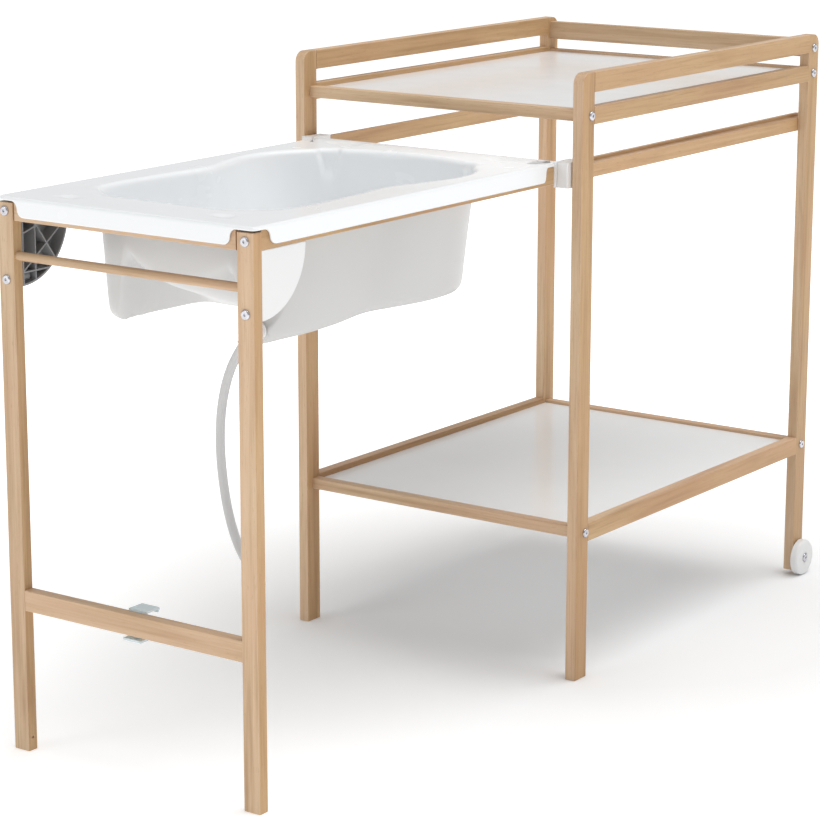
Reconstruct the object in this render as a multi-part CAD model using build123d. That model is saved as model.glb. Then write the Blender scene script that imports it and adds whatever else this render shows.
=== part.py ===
from build123d import *
import math
import os

# Changing table with a bathtub that slides out on its own front legs.
# Millimetres. +X is the user's right, +Y runs from the bath to the back of the table, +Z is up.
# The origin is on the floor, in the middle of the whole object with the bath pulled out.

# Whole table
table_width = 573.0
table_depth = 786.0
table_height = 1000.0

# Side frames
post_thick = 19.0
post_deep = 35.0
post_round = 18.0
edge_ease = 1.5
back_foot_lift = 10.0
top_rail_high = 32.0
tray_rail_drop = 83.0
tray_rail_high = 28.0
shelf_rail_base = 232.0
shelf_rail_high = 31.0
dowel_radius = 4.0
dowel_reach = 15.0
top_dowel_share = 0.75
low_dowel_share = 0.2

# Cross rails between the side frames
cross_thick = 19.0
cross_high = 19.0
front_setback = 16.0
back_setback = 8.5
tray_cross_rise = 5.0
shelf_cross_rise = 7.0
back_top_drop = 8.0

# Tray and shelf boards
board_thick = 6.0
board_tuck = 4.0
board_fit = 0.2
tray_board_rise = 20.0
shelf_board_rise = 21.0

# Bolts and barrel nuts
bolt_radius = 3.0
bolt_hole_gap = 0.3
bolt_head_radius = 7.6
bolt_head_high = 3.2
bolt_head_round = 2.4
bolt_reach = 30.0
bolt_past_nut = 2.0
socket_radius = 2.4
socket_deep = 2.0
nut_radius = 5.0
nut_long = 13.0

# Slide rails
slide_thick = 22.0
slide_drop = 88.8
slide_high = 28.3
ledge_wide = 15.0
ledge_drop = 5.7
slide_front_inset = 6.0
slide_back_inset = 4.0
screw_radius = 2.0
screw_head_radius = 4.0
screw_head_high = 2.4
slide_screw_long = 34.0
slide_screw_inset = 10.0
stop_front = 10.0
stop_side_gap = 1.8
stop_ease = 1.5
stop_peg_radius = 3.0
stop_peg_long = 14.0
stop_peg_rise = 7.0

# Wheels
wheel_radius = 33.0
wheel_thick = 13.0
wheel_round = 5.0
wheel_gap = 2.0
wheel_setback = 15.0
wheel_face_deep = 1.5
wheel_face_radius = 9.5
wheel_hub_radius = 9.0
wheel_rim_inner = 27.0
wheel_pocket_deep = 7.5
wheel_rib_thick = 2.4
wheel_rib_count = 6
wheel_washer_radius = 8.0
axle_radius = 4.0
axle_run = 0.08
axle_head_radius = 8.0
axle_head_high = 3.6
axle_nut_radius = 7.5
axle_nut_high = 6.0
axle_past_nut = 1.5

# Bath frame
bath_reach = 770.3
bath_side_gap = 4.3
leg_wide = 30.0
leg_deep = 18.8
leg_top_gap = 3.2
bath_rail_drop = 5.7
bath_rail_high = 29.7
bath_rail_thick = 28.0
bath_rail_inset = 1.2
apron_thick = 18.0
apron_inset = 1.4
apron_gap_wide = 2.5
apron_gap_deep = 4.5
bath_back_reach = 4.0
bath_back_thick = 19.0
leg_bolt_rise = 14.0
gusset_bolt_drop = 88.5
leg_bolt_long = 44.0
leg_nut_at = 36.0
foot_hole_radius = 2.3
foot_hole_deep = 8.0
foot_hole_high = 21.0
towel_radius = 6.7
towel_drop = 53.2
towel_tuck = 10.0
crossbar_base = 225.0
crossbar_high = 32.6
crossbar_inset = 0.9
crossbar_thick = 19.0

# Gussets under the bath frame's front corners
gusset_radius = 100.0
gusset_wall = 3.0
gusset_rib = 2.4
gusset_cover_thick = 4.0
gusset_cover_round = 1.4
gusset_boss_radius = 8.0
gusset_boss_long = 22.0
gusset_screw_back = 62.0
gusset_screw_long = 22.0
insert_radius = 5.0
insert_long = 16.0
gusset_bolt_long = 34.0
gusset_upright_share = 0.28
gusset_near_share = 0.22
gusset_far_share = 0.80
peg_radius = 2.5
peg_share = 0.45

# Carriages at the bath frame's rear corners
carriage_front = 10.0
carriage_back = 36.0
carriage_wide = 22.5
carriage_floor = 10.2
carriage_roof = 2.5
slide_run = 0.3
carriage_screw_long = 32.0
carriage_screw_back = 3.0
carriage_screw_rise = 8.5

# Latch on the crossbar
latch_wide = 34.0
latch_plate = 2.8
latch_arm_thick = 3.2
latch_foot = 3.5
latch_foot_front = 17.0
latch_lift = 5.0
latch_run = 0.3
latch_hook_thick = 4.0
latch_hook_drop = 4.2
latch_slot_wide = 4.6
latch_screw_high = 240.0
latch_screw_long = 12.0
latch_screw_head = 1.4

# Travel of the bath
slide_stop_gap = 2.9

# Bathtub
rim_thick = 5.5
rim_gap = 0.3
skirt_thick = 3.2
skirt_drop = 23.5
skirt_gap = 0.4
skirt_round = 9.0
rim_round = 8.0
skirt_side_gap = 11.5
skirt_side_slant = 16.0
skirt_front_gap = 6.2
skirt_front_slant = 10.0
skirt_margin = 8.0
skirt_side_end = 37.6
rim_back_reach = 7.6
well_wall = 3.5
well_front = 120.0
well_back = 72.0
well_half = 205.0
well_depth = 194.5
well_round = 24.0
floor_front_in = 6.0
floor_back_in = 11.0
floor_half = 166.0
well_top_shares = [
    (0.003, 0.60), (0.042, 0.83), (0.150, 0.893), (0.34, 0.868), (0.48, 0.83), (0.60, 0.925),
    (0.72, 0.995), (0.84, 0.93), (0.935, 0.71), (0.985, 0.40),
]
well_floor_shares = [
    (0.003, 0.64), (0.032, 0.93), (0.120, 1.00), (0.29, 0.985), (0.46, 0.895), (0.60, 0.95),
    (0.73, 1.00), (0.86, 0.955), (0.945, 0.76), (0.988, 0.44),
]

# Hollow below the reclining seat at the bathtub's front end
seat_half = 112.0
seat_middle_rise = 76.0
seat_side_rise = 126.0
seat_long = 226.0
seat_end_drop = 6.0
seat_round = 16.0

# Soap dishes in the bathtub's rim
dish_deep = 2.5
dish_back_half = 30.0
dish_back_wide = 15.0
dish_back_x = 152.0
dish_back_y = 32.0
dish_front_half = 14.0
dish_front_wide = 9.0
dish_front_x = 148.0
dish_front_y = 60.0

# Drain at the front of the bathtub's right foot well
drain_x = 148.0
drain_rise = 24.0
drain_hole = 9.0
drain_flange_radius = 15.0
drain_flange_thick = 3.0
drain_body_radius = 10.5
drain_body_long = 27.0
drain_ring_radius = 13.0
drain_ring_thick = 2.5
drain_pad_margin = 1.5
drain_pocket_gap = 1.0
drain_pad_deep = 34.0
outlet_long = 28.0
outlet_dip = 45.43
outlet_turn = 15.89
drain_bore = 6.0
plug_run = 0.3
plug_head_radius = 9.0
plug_head_thick = 3.0
plug_long = 14.0
plug_knob_radius = 3.0
plug_knob_high = 6.0
hose_radius = 7.0
collar_radius = 8.5
clamp_thick = 1.2
clamp_wide = 7.0
clamp_inset = 1.5
worm_radius = 2.6
worm_long = 9.0
end_plug_radius = 8.4
end_plug_long = 14.0

cut_over = 2.0

# Places that several pieces share
rear_reach = table_depth - wheel_setback + wheel_radius
rim_lead = skirt_thick + skirt_gap - apron_inset
front_reach = bath_reach + rim_lead
table_front = (front_reach - rear_reach) / 2
table_back = table_front + table_depth
side_out = table_width / 2
side_in = side_out - post_thick
post_back = table_front + post_deep
back_post_front = table_back - post_deep
front_cross_back = table_front + front_setback + cross_thick
back_cross_front = table_back - back_setback - cross_thick
slide_in = side_in - slide_thick
slide_lip = side_in - ledge_wide
tray_rail_base = table_height - tray_rail_drop
tray_cross_base = tray_rail_base + tray_cross_rise
tray_board_top = tray_rail_base + tray_board_rise
shelf_cross_base = shelf_rail_base + shelf_cross_rise
shelf_board_top = shelf_rail_base + shelf_board_rise
slide_base = tray_rail_base - slide_drop
slide_top = slide_base + slide_high
ledge_top = slide_top - ledge_drop
bath_out = slide_in - bath_side_gap
leg_in = bath_out - leg_wide
leg_front = table_front - bath_reach
leg_back = leg_front + leg_deep
leg_middle = (leg_in + bath_out) / 2
bath_rail_out = bath_out - bath_rail_inset
bath_rail_in = bath_rail_out - bath_rail_thick
bath_rail_base = slide_base - bath_rail_drop
bath_rail_top = bath_rail_base + bath_rail_high
leg_bolt_high = bath_rail_base + leg_bolt_rise
gusset_bolt_high = bath_rail_base - gusset_bolt_drop
towel_high = bath_rail_base - towel_drop
bath_back = table_front + bath_back_reach
crossbar_front = leg_front + crossbar_inset
crossbar_back = crossbar_front + crossbar_thick
crossbar_top = crossbar_base + crossbar_high
slide_travel = table_front + front_setback - slide_stop_gap - crossbar_back
rim_base = bath_rail_top + rim_gap
leg_high = rim_base - leg_top_gap
rim_top = rim_base + rim_thick
rim_out = bath_rail_out + skirt_gap + skirt_thick
rim_front = leg_front - rim_lead
rim_back = table_front + rim_back_reach
tub_floor = rim_base - well_depth
well_start = rim_front + well_front
well_end = rim_back - well_back
axle_y = table_back - wheel_setback
drain_z = tub_floor + drain_rise
drain_wall = well_start + floor_front_in


# A round solid stands on its base
on_base = (Align.CENTER, Align.CENTER, Align.MIN)


def block(x_span, y_span, z_span):
    """Box between three pairs of limits."""
    spans = (x_span, y_span, z_span)
    low = [min(span) for span in spans]
    size = [max(span) - min(span) for span in spans]
    return Pos(*low) * Box(*size, align=(Align.MIN, Align.MIN, Align.MIN))


def stick(x_span, y_span, z_span, axis):
    """Planed bar along an axis, with its long edges eased and its ends flat."""
    bar = block(x_span, y_span, z_span)
    return fillet(bar.edges().filter_by(axis), edge_ease)


def rod(radius, start, end):
    """Round bar from one point to another."""
    way = Vector(*end) - Vector(*start)
    return Plane(origin=start, z_dir=way) * Cylinder(radius, way.length, align=on_base)


def rod_across(radius, x_start, x_end, y, z):
    """Round bar along X."""
    return rod(radius, (x_start, y, z), (x_end, y, z))


def tip(point, way, length):
    """Point at a distance from another along a direction."""
    return tuple(a + b * length for a, b in zip(point, way))


def slab_yz(points, x_start, thick):
    """Outline in Y and Z, given its thickness towards +X."""
    return extrude(Plane.YZ.offset(x_start) * Polygon(*points, align=None), thick)


def slab_xz(points, y_start, thick):
    """Outline in X and Z, given its thickness towards +Y."""
    return extrude(Plane.XZ.offset(-y_start) * Polygon(*points, align=None), -thick)


def mirrored(shape):
    """The same piece on the other side of the object."""
    return mirror(shape, about=Plane.YZ)


def both(shapes):
    """Each shape and its mirror image."""
    return [*shapes, *[mirrored(shape) for shape in shapes]]


def cut(body, tools):
    """Body with every tool taken out of it."""
    for tool in tools:
        body = body - tool
    return body


# Fasteners


def socket(top, way, radius):
    """Hexagonal socket sunk along way into a head whose top is given."""
    back = tuple(-part for part in way)
    hexagon = Plane(origin=tip(top, way, socket_deep), z_dir=back) * RegularPolygon(radius, 6)
    return extrude(hexagon, socket_deep + cut_over)


def bolt(start, way, length):
    """Domed bolt whose head stands on start and whose shank runs along way."""
    back = tuple(-part for part in way)
    top = tip(start, back, bolt_head_high)
    head = rod(bolt_head_radius, start, top)
    farthest = head.edges().sort_by(lambda edge: (edge.center() - Vector(*start)).length)[-1]
    head = fillet(farthest, bolt_head_round)
    return head + rod(bolt_radius, start, tip(start, way, length)) - socket(top, way, socket_radius)


def bolt_hole(start, way, length):
    """Drilled way for a bolt's shank, open past start."""
    back = tuple(-part for part in way)
    return rod(bolt_radius + bolt_hole_gap, tip(start, back, cut_over), tip(start, way, length))


def screw(start, way, length):
    """Countersunk screw with its flat head flush at start."""
    return screw_hole(start, way, length) - socket(start, way, screw_radius)


def screw_hole(start, way, length):
    """Countersunk way that a screw fills."""
    under = tip(start, way, screw_head_high)
    cone = Cone(screw_head_radius, screw_radius, screw_head_high, align=on_base)
    head = Plane(origin=start, z_dir=way) * cone
    return head + rod(screw_radius, under, tip(start, way, length))


# Table


def cross_rail_places():
    """Middle Y, base Z and height of each rail that bolts between the side frames."""
    front = table_front + front_setback + cross_thick / 2
    back = table_back - back_setback - cross_thick / 2
    back_top_base = table_height - back_top_drop - top_rail_high
    return {
        "front_tray_rail": (front, tray_cross_base, cross_high),
        "front_shelf_rail": (front, shelf_cross_base, cross_high),
        "back_tray_rail": (back, tray_cross_base, cross_high),
        "back_shelf_rail": (back, shelf_cross_base, cross_high),
        "back_top_rail": (back, back_top_base, top_rail_high),
    }


def table_bolt_starts():
    """Where each right-hand cross rail bolt's head stands on a post."""
    return [(side_out, y, base + high / 2) for y, base, high in cross_rail_places().values()]


def table_nut_ends():
    """Lower and upper end of each right-hand barrel nut."""
    x = side_out - bolt_reach - post_thick + bolt_radius
    return [((x, y, z - nut_long / 2), (x, y, z + nut_long / 2)) for _, y, z in table_bolt_starts()]


def table_bolt_length():
    """Shank length that passes through the barrel nut."""
    return post_thick + bolt_reach + bolt_past_nut


def side_rail_levels():
    """Base and height of the right side frame's rails, and how far up their dowels lie."""
    return {
        "top_rail": (table_height - top_rail_high, top_rail_high, top_dowel_share),
        "tray_rail": (tray_rail_base, tray_rail_high, low_dowel_share),
        "shelf_rail": (shelf_rail_base, shelf_rail_high, low_dowel_share),
    }


def side_dowels():
    """Dowels that join the right side frame's rails to its posts."""
    x = (side_out + side_in) / 2
    pins = []
    for base, high, share in side_rail_levels().values():
        for y in (post_back, back_post_front):
            z = base + high * share
            pins.append(rod(dowel_radius, (x, y - dowel_reach, z), (x, y + dowel_reach, z)))
    return pins


def post(y_span, base, round_side):
    """Upright of the right side frame, with one top corner rounded."""
    body = block((side_in, side_out), y_span, (base, table_height))
    top_edges = body.edges().filter_by(Axis.X).group_by(Axis.Z)[-1].sort_by(Axis.Y)
    body = fillet(top_edges[round_side], post_round)
    return fillet(body.edges(), edge_ease)


def slide_screw_starts():
    """Where each right-hand slide rail screw's head lies."""
    z = slide_base + slide_high / 2
    inset = slide_screw_inset
    rows = (table_front + inset, post_back - inset, back_post_front + inset, table_back - inset)
    return [(slide_in, y, z) for y in rows]


def post_cuts():
    """Everything drilled into the right posts."""
    length = post_thick + cut_over
    holes = [bolt_hole(start, (-1, 0, 0), length) for start in table_bolt_starts()]
    screws = [screw_hole(start, (1, 0, 0), slide_screw_long) for start in slide_screw_starts()]
    return holes + side_dowels() + screws


def right_posts():
    """Front and back upright of the right side frame."""
    axle_hole = rod_across(axle_radius, side_in - cut_over, side_out + cut_over, axle_y, wheel_radius)
    front = post((table_front, post_back), 0, 0)
    back = post((back_post_front, table_back), back_foot_lift, 1)
    return cut(front, post_cuts()), cut(back, [*post_cuts(), axle_hole])


def board(top, x_half, rails_y):
    """White board whose edges tuck into the grooves of the rails round it."""
    z_span = (top - board_thick, top)
    wide = block((-x_half - board_tuck, x_half + board_tuck), (post_back, back_post_front), z_span)
    deep = block((-x_half, x_half), (rails_y[0] - board_tuck, rails_y[1] + board_tuck), z_span)
    return wide + deep


def board_groove(top, x_half, rails_y):
    """Groove round a board, a little taller than the board."""
    z_span = (top - board_thick, top + board_fit)
    wide = block((-x_half - board_tuck, x_half + board_tuck), (post_back, back_post_front), z_span)
    deep = block((-x_half, x_half), (rails_y[0] - board_tuck, rails_y[1] + board_tuck), z_span)
    return wide + deep


def boards_and_grooves():
    """Tray and shelf boards with the grooves that they sit in."""
    rails_y = (front_cross_back, back_cross_front)
    tops = (tray_board_top, shelf_board_top)
    boards = [board(top, side_in, rails_y) for top in tops]
    grooves = [board_groove(top, side_in, rails_y) for top in tops]
    return boards, grooves


def side_rail(base, high, grooves):
    """Rail of the right side frame."""
    bar = stick((side_in, side_out), (post_back, back_post_front), (base, base + high), Axis.Y)
    return cut(bar, side_dowels() + grooves)


def cross_rail(y, base, high, grooves):
    """Rail bolted between the side frames."""
    y_span = (y - cross_thick / 2, y + cross_thick / 2)
    bar = stick((-side_in, side_in), y_span, (base, base + high), Axis.X)
    length = table_bolt_length()
    start = (side_out, y, base + high / 2)
    nut_high = next(end for _, end in table_nut_ends() if end[1] == y and base < end[2] < base + high)
    below = (nut_high[0], y, base - cut_over)
    holes = both([bolt_hole(start, (-1, 0, 0), length), rod(nut_radius, below, nut_high)])
    return cut(bar, holes + grooves)


def table_nuts():
    """Barrel nuts in the ends of the cross rails."""
    length = table_bolt_length()
    bolts = [rod(bolt_radius, start, tip(start, (-1, 0, 0), length)) for start in table_bolt_starts()]
    return both([cut(rod(nut_radius, *ends), bolts) for ends in table_nut_ends()])


def slide_rail():
    """Right slide rail, with the rebate that the carriage hooks into."""
    outline = [
        (slide_in, slide_base), (side_in, slide_base), (side_in, ledge_top),
        (slide_lip, ledge_top), (slide_lip, slide_top), (slide_in, slide_top),
    ]
    start = table_front + slide_front_inset
    bar = slab_xz(outline, start, table_back - slide_back_inset - start)
    bar = fillet(bar.edges().filter_by(Axis.Y), edge_ease / 3)
    screws = [screw_hole(start, (1, 0, 0), slide_screw_long) for start in slide_screw_starts()]
    return cut(bar, [*screws, stop_peg()])


def stop_peg():
    """Peg that holds the stop in the front end of the right slide rail."""
    x = slide_in + slide_thick / 2
    z = slide_base + stop_peg_rise
    start = table_front + slide_front_inset
    return rod(stop_peg_radius, (x, start, z), (x, start + stop_peg_long, z))


def slide_stop():
    """Cap on the right slide rail's front end, which the carriage can't pass."""
    x_span = (slide_in, side_in - stop_side_gap)
    y_span = (table_front - stop_front, table_front + slide_front_inset)
    z_span = (slide_base - carriage_floor, slide_top + carriage_roof)
    cap = block(x_span, y_span, z_span)
    cap = fillet(cap.edges().group_by(Axis.Y)[0], stop_ease)
    return cap + stop_peg()


def table_pieces():
    """Every piece of the table itself."""
    boards, grooves = boards_and_grooves()
    front_post, back_post = right_posts()
    pieces = {"right_front_post": front_post, "right_back_post": back_post}
    for name, (base, high, _) in side_rail_levels().items():
        pieces["right_" + name] = side_rail(base, high, grooves)
    pieces["right_slide_rail"] = slide_rail()
    pieces["right_slide_stop"] = slide_stop()
    pieces |= {name.replace("right", "left"): mirrored(piece) for name, piece in pieces.items()}
    for name, (y, base, high) in cross_rail_places().items():
        pieces[name] = cross_rail(y, base, high, grooves)
    pieces["tray_board"], pieces["shelf_board"] = boards
    pieces["frame_dowels"] = both(side_dowels())
    length = table_bolt_length()
    pieces["table_bolts"] = both([bolt(start, (-1, 0, 0), length) for start in table_bolt_starts()])
    pieces["table_barrel_nuts"] = table_nuts()
    screws = [screw(start, (1, 0, 0), slide_screw_long) for start in slide_screw_starts()]
    pieces["slide_rail_screws"] = both(screws)
    return pieces


# Wheels


def wheel():
    """Right wheel: a moulded disc with a ribbed back and a shallow hub recess."""
    inner = side_out + wheel_gap
    outer = inner + wheel_thick
    disc = rod_across(wheel_radius, inner, outer, axle_y, wheel_radius)
    disc = fillet(disc.edges().sort_by(Axis.X)[-1], wheel_round)
    pocket_span = (inner - cut_over, inner + wheel_pocket_deep)
    pocket = rod_across(wheel_rim_inner, *pocket_span, axle_y, wheel_radius)
    pocket = pocket - rod_across(wheel_hub_radius, *pocket_span, axle_y, wheel_radius)
    for number in range(wheel_rib_count):
        rib = Pos(0, wheel_radius / 2, 0) * Box(wheel_thick, wheel_radius, wheel_rib_thick)
        spoke = Rot(number * 360 / wheel_rib_count, 0, 0) * rib
        pocket = pocket - Pos(inner, axle_y, wheel_radius) * spoke
    recess = rod_across(wheel_face_radius, outer - wheel_face_deep, outer + cut_over, axle_y, wheel_radius)
    bore = rod_across(axle_radius + axle_run, inner - cut_over, outer + cut_over, axle_y, wheel_radius)
    return cut(disc, [pocket, recess, bore])


def wheel_axle():
    """Shoulder bolt that carries the right wheel."""
    head_base = side_out + wheel_gap + wheel_thick - wheel_face_deep
    top = head_base + axle_head_high
    end = side_in - axle_nut_high - axle_past_nut
    head = rod_across(axle_head_radius, head_base, top, axle_y, wheel_radius)
    head = fillet(head.edges().sort_by(Axis.X)[-1], bolt_head_round)
    shank = rod_across(axle_radius, end, head_base, axle_y, wheel_radius)
    return head + shank - socket((top, axle_y, wheel_radius), (-1, 0, 0), socket_radius)


def wheel_pieces():
    """Wheels with their axles, washers and nuts."""
    shank_start = side_in - axle_nut_high - cut_over
    shank = rod_across(axle_radius, shank_start, side_out + wheel_gap + cut_over, axle_y, wheel_radius)
    washer = rod_across(wheel_washer_radius, side_out, side_out + wheel_gap - slide_run, axle_y, wheel_radius)
    face = Plane(origin=(side_in, axle_y, wheel_radius), z_dir=(-1, 0, 0))
    hexagon = face * RegularPolygon(axle_nut_radius, 6)
    nut = extrude(hexagon, axle_nut_high) - shank
    return {
        "right_wheel": wheel(),
        "left_wheel": mirrored(wheel()),
        "wheel_axles": both([wheel_axle()]),
        "wheel_washers": both([washer - shank]),
        "wheel_nuts": both([nut]),
    }


# Bath frame


def bath_dowels():
    """Dowels of the crossbar, front rail and back rail on the right side."""
    cross_y = (crossbar_front + crossbar_back) / 2
    places = [
        (leg_in, cross_y, crossbar_base + crossbar_high / 4),
        (leg_in, cross_y, crossbar_top - crossbar_high / 4),
        (leg_in, leg_front + leg_deep / 2, bath_rail_base + bath_rail_high * low_dowel_share),
        (bath_rail_in, bath_back - bath_back_thick / 2, bath_rail_base + bath_rail_high / 2),
    ]
    return [rod_across(dowel_radius, x - dowel_reach, x + dowel_reach, y, z) for x, y, z in places]


def towel_rod():
    """Round rail between the bath legs."""
    half = leg_in + towel_tuck
    return rod_across(towel_radius, -half, half, leg_front + leg_deep / 2, towel_high)


def leg_bolt_start(z):
    """Where a leg bolt's head stands on the right leg."""
    return (leg_middle, leg_front, z)


def bath_leg():
    """Right bath leg."""
    body = block((leg_in, bath_out), (leg_front, leg_back), (0, leg_high))
    body = fillet(body.edges(), edge_ease)
    y = leg_front + leg_deep / 2
    foot_hole = rod_across(foot_hole_radius, leg_in - cut_over, leg_in + foot_hole_deep, y, foot_hole_high)
    starts = [leg_bolt_start(z) for z in (leg_bolt_high, gusset_bolt_high)]
    bolts = [bolt_hole(start, (0, 1, 0), leg_deep + cut_over) for start in starts]
    return cut(body, [foot_hole, towel_rod(), *bolts, *bath_dowels()])


def leg_nut_ends():
    """Lower and upper end of the right leg bolt's barrel nut."""
    y = leg_front + leg_nut_at
    return (leg_middle, y, leg_bolt_high - nut_long / 2), (leg_middle, y, leg_bolt_high + nut_long / 2)


def carriage_screw_places():
    """Where the right carriage's screws start, on the inside of the bath frame."""
    y = bath_back - bath_back_thick / 2 + carriage_screw_back
    z = bath_rail_base + bath_rail_high / 2
    return [(bath_rail_in, y, z - carriage_screw_rise), (bath_rail_in, y, z + carriage_screw_rise)]


def gusset_screw_start():
    """Where the right gusset's screw starts, under the gusset's top flange."""
    return (leg_middle, leg_back + gusset_screw_back, bath_rail_base - gusset_wall)


def bath_side_rail():
    """Right rail of the bath frame."""
    z_span = (bath_rail_base, bath_rail_top)
    bar = stick((bath_rail_in, bath_rail_out), (leg_back, bath_back), z_span, Axis.Y)
    low, high = leg_nut_ends()
    nut_way = rod(nut_radius, (low[0], low[1], bath_rail_base - cut_over), high)
    shank = bolt_hole(leg_bolt_start(leg_bolt_high), (0, 1, 0), leg_bolt_long)
    screws = [screw_hole(start, (1, 0, 0), carriage_screw_long) for start in carriage_screw_places()]
    gusset = screw_hole(gusset_screw_start(), (0, 0, 1), gusset_screw_long)
    return cut(bar, [nut_way, shank, gusset, *screws, *bath_dowels()])


def bath_cross_pieces():
    """Rails across the bath frame."""
    dowels = both(bath_dowels())
    z_span = (bath_rail_base, bath_rail_top)
    front = leg_front + apron_inset
    apron = stick((-leg_in, leg_in), (front, front + apron_thick), z_span, Axis.X)
    gap_x = (leg_in - apron_gap_wide, leg_in + cut_over)
    gap_z = (bath_rail_base - cut_over, bath_rail_top + cut_over)
    gaps = both([block(gap_x, (front - cut_over, front + apron_gap_deep), gap_z)])
    back = stick((-bath_rail_in, bath_rail_in), (bath_back - bath_back_thick, bath_back), z_span, Axis.X)
    bar = stick((-leg_in, leg_in), (crossbar_front, crossbar_back), (crossbar_base, crossbar_top), Axis.X)
    half = latch_wide / 2 + latch_run
    floor = crossbar_back - latch_plate - latch_run
    groove_z = (crossbar_base - cut_over, crossbar_top + cut_over)
    groove = block((-half, half), (floor, crossbar_back + cut_over), groove_z)
    return {
        "bath_front_rail": cut(apron, dowels + gaps),
        "bath_back_rail": cut(back, dowels),
        "leg_crossbar": cut(bar, [*dowels, groove, latch_screw_shank()]),
    }


def gusset_quarter(radius, x_start, thick):
    """Quarter disc behind the right leg and under its rail."""
    centre = Plane(origin=(x_start, leg_back, bath_rail_base), z_dir=(1, 0, 0))
    disc = centre * Cylinder(radius, thick, align=(Align.CENTER, Align.CENTER, Align.MIN))
    keep = (x_start - cut_over, x_start + thick + cut_over)
    return disc & block(keep, (leg_back, leg_back + radius), (bath_rail_base - radius, bath_rail_base))


def gusset_strip(start, end):
    """Rib of the gusset between two points given as shares of its radius."""
    (y_one, z_one), (y_two, z_two) = [
        (leg_back + gusset_radius * y, bath_rail_base - gusset_radius * z) for y, z in (start, end)
    ]
    length = math.hypot(y_two - y_one, z_two - z_one)
    angle = math.degrees(math.atan2(z_two - z_one, y_two - y_one))
    middle = (0, (y_one + y_two) / 2, (z_one + z_two) / 2)
    depth = bath_rail_out - gusset_cover_thick - leg_in
    strip = Pos(*middle) * Rot(angle, 0, 0) * Box(depth, length, gusset_rib)
    return Pos(leg_in + depth / 2, 0, 0) * strip


def gusset_boss():
    """Round boss that takes the lower leg bolt."""
    start = (leg_middle, leg_back, gusset_bolt_high)
    return rod(gusset_boss_radius, start, tip(start, (0, 1, 0), gusset_boss_long))


def gusset_pegs():
    """Pegs on the back of the right gusset's cover."""
    x = bath_rail_out - gusset_cover_thick
    reach = gusset_radius * peg_share
    near = (x, leg_back + reach / 2, bath_rail_base - reach)
    far = (x, leg_back + reach, bath_rail_base - reach / 2)
    return [rod(peg_radius, tip(place, (-1, 0, 0), gusset_wall), place) for place in (near, far)]


def gusset():
    """Right gusset: rim, flanges and crossing ribs behind a smooth cover."""
    depth = bath_rail_out - gusset_cover_thick - leg_in
    whole = gusset_quarter(gusset_radius, leg_in, depth)
    inside = gusset_quarter(gusset_radius - gusset_wall, leg_in - cut_over, depth - gusset_wall + cut_over)
    y_span = (leg_back + gusset_wall, leg_back + gusset_radius)
    z_span = (bath_rail_base - gusset_radius, bath_rail_base - gusset_wall)
    shell = whole - (inside & block((leg_in - cut_over, bath_rail_out), y_span, z_span))
    near_share = gusset_near_share
    strips = [
        gusset_strip((gusset_upright_share, 0), (gusset_upright_share, 1)),
        gusset_strip((0, near_share), (gusset_far_share, 0)),
        gusset_strip((near_share, 0), (gusset_far_share, gusset_far_share)),
        gusset_strip((0, gusset_far_share), (gusset_far_share, near_share)),
        gusset_strip((0, gusset_far_share), (1, gusset_far_share)),
    ]
    for rib in strips:
        shell = shell + (rib & whole)
    shell = shell + (gusset_boss() & whole)
    insert_start = (leg_middle, leg_back, gusset_bolt_high)
    insert = rod(insert_radius, insert_start, tip(insert_start, (0, 1, 0), insert_long))
    bolt_way = bolt_hole(leg_bolt_start(gusset_bolt_high), (0, 1, 0), gusset_bolt_long + cut_over)
    screw_way = screw_hole(gusset_screw_start(), (0, 0, 1), gusset_screw_long)
    return cut(shell, [insert, bolt_way, screw_way, *gusset_pegs()])


def gusset_cover():
    """Smooth outer cover of the right gusset."""
    start = bath_rail_out - gusset_cover_thick
    plate = gusset_quarter(gusset_radius, start, gusset_cover_thick)
    plate = fillet(plate.faces().sort_by(Axis.X)[-1].edges(), gusset_cover_round)
    for peg in gusset_pegs():
        plate = plate + peg
    return plate


def carriage():
    """Right slide carriage: a web beside the bath rail, then a hook round the slide rail."""
    inner = bath_rail_out
    outer = inner + carriage_wide
    low = slide_base - carriage_floor
    high = slide_top + carriage_roof
    front = table_front - carriage_front
    groove_low = slide_base - slide_run
    groove_in = slide_in - slide_run
    lip_in = slide_lip + slide_run
    lip_low = ledge_top + slide_run
    hook = [
        (inner, low), (outer, low), (outer, groove_low), (groove_in, groove_low),
        (groove_in, slide_top + slide_run), (lip_in, slide_top + slide_run),
        (lip_in, lip_low), (outer, lip_low), (outer, high), (inner, high),
    ]
    start = table_front + slide_front_inset + slide_run
    web = block((inner, groove_in), (front, start), (low, high))
    body = web + slab_xz(hook, start, table_front + carriage_back - start)
    screws = [screw_hole(place, (1, 0, 0), carriage_screw_long) for place in carriage_screw_places()]
    return cut(body, screws)


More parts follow.
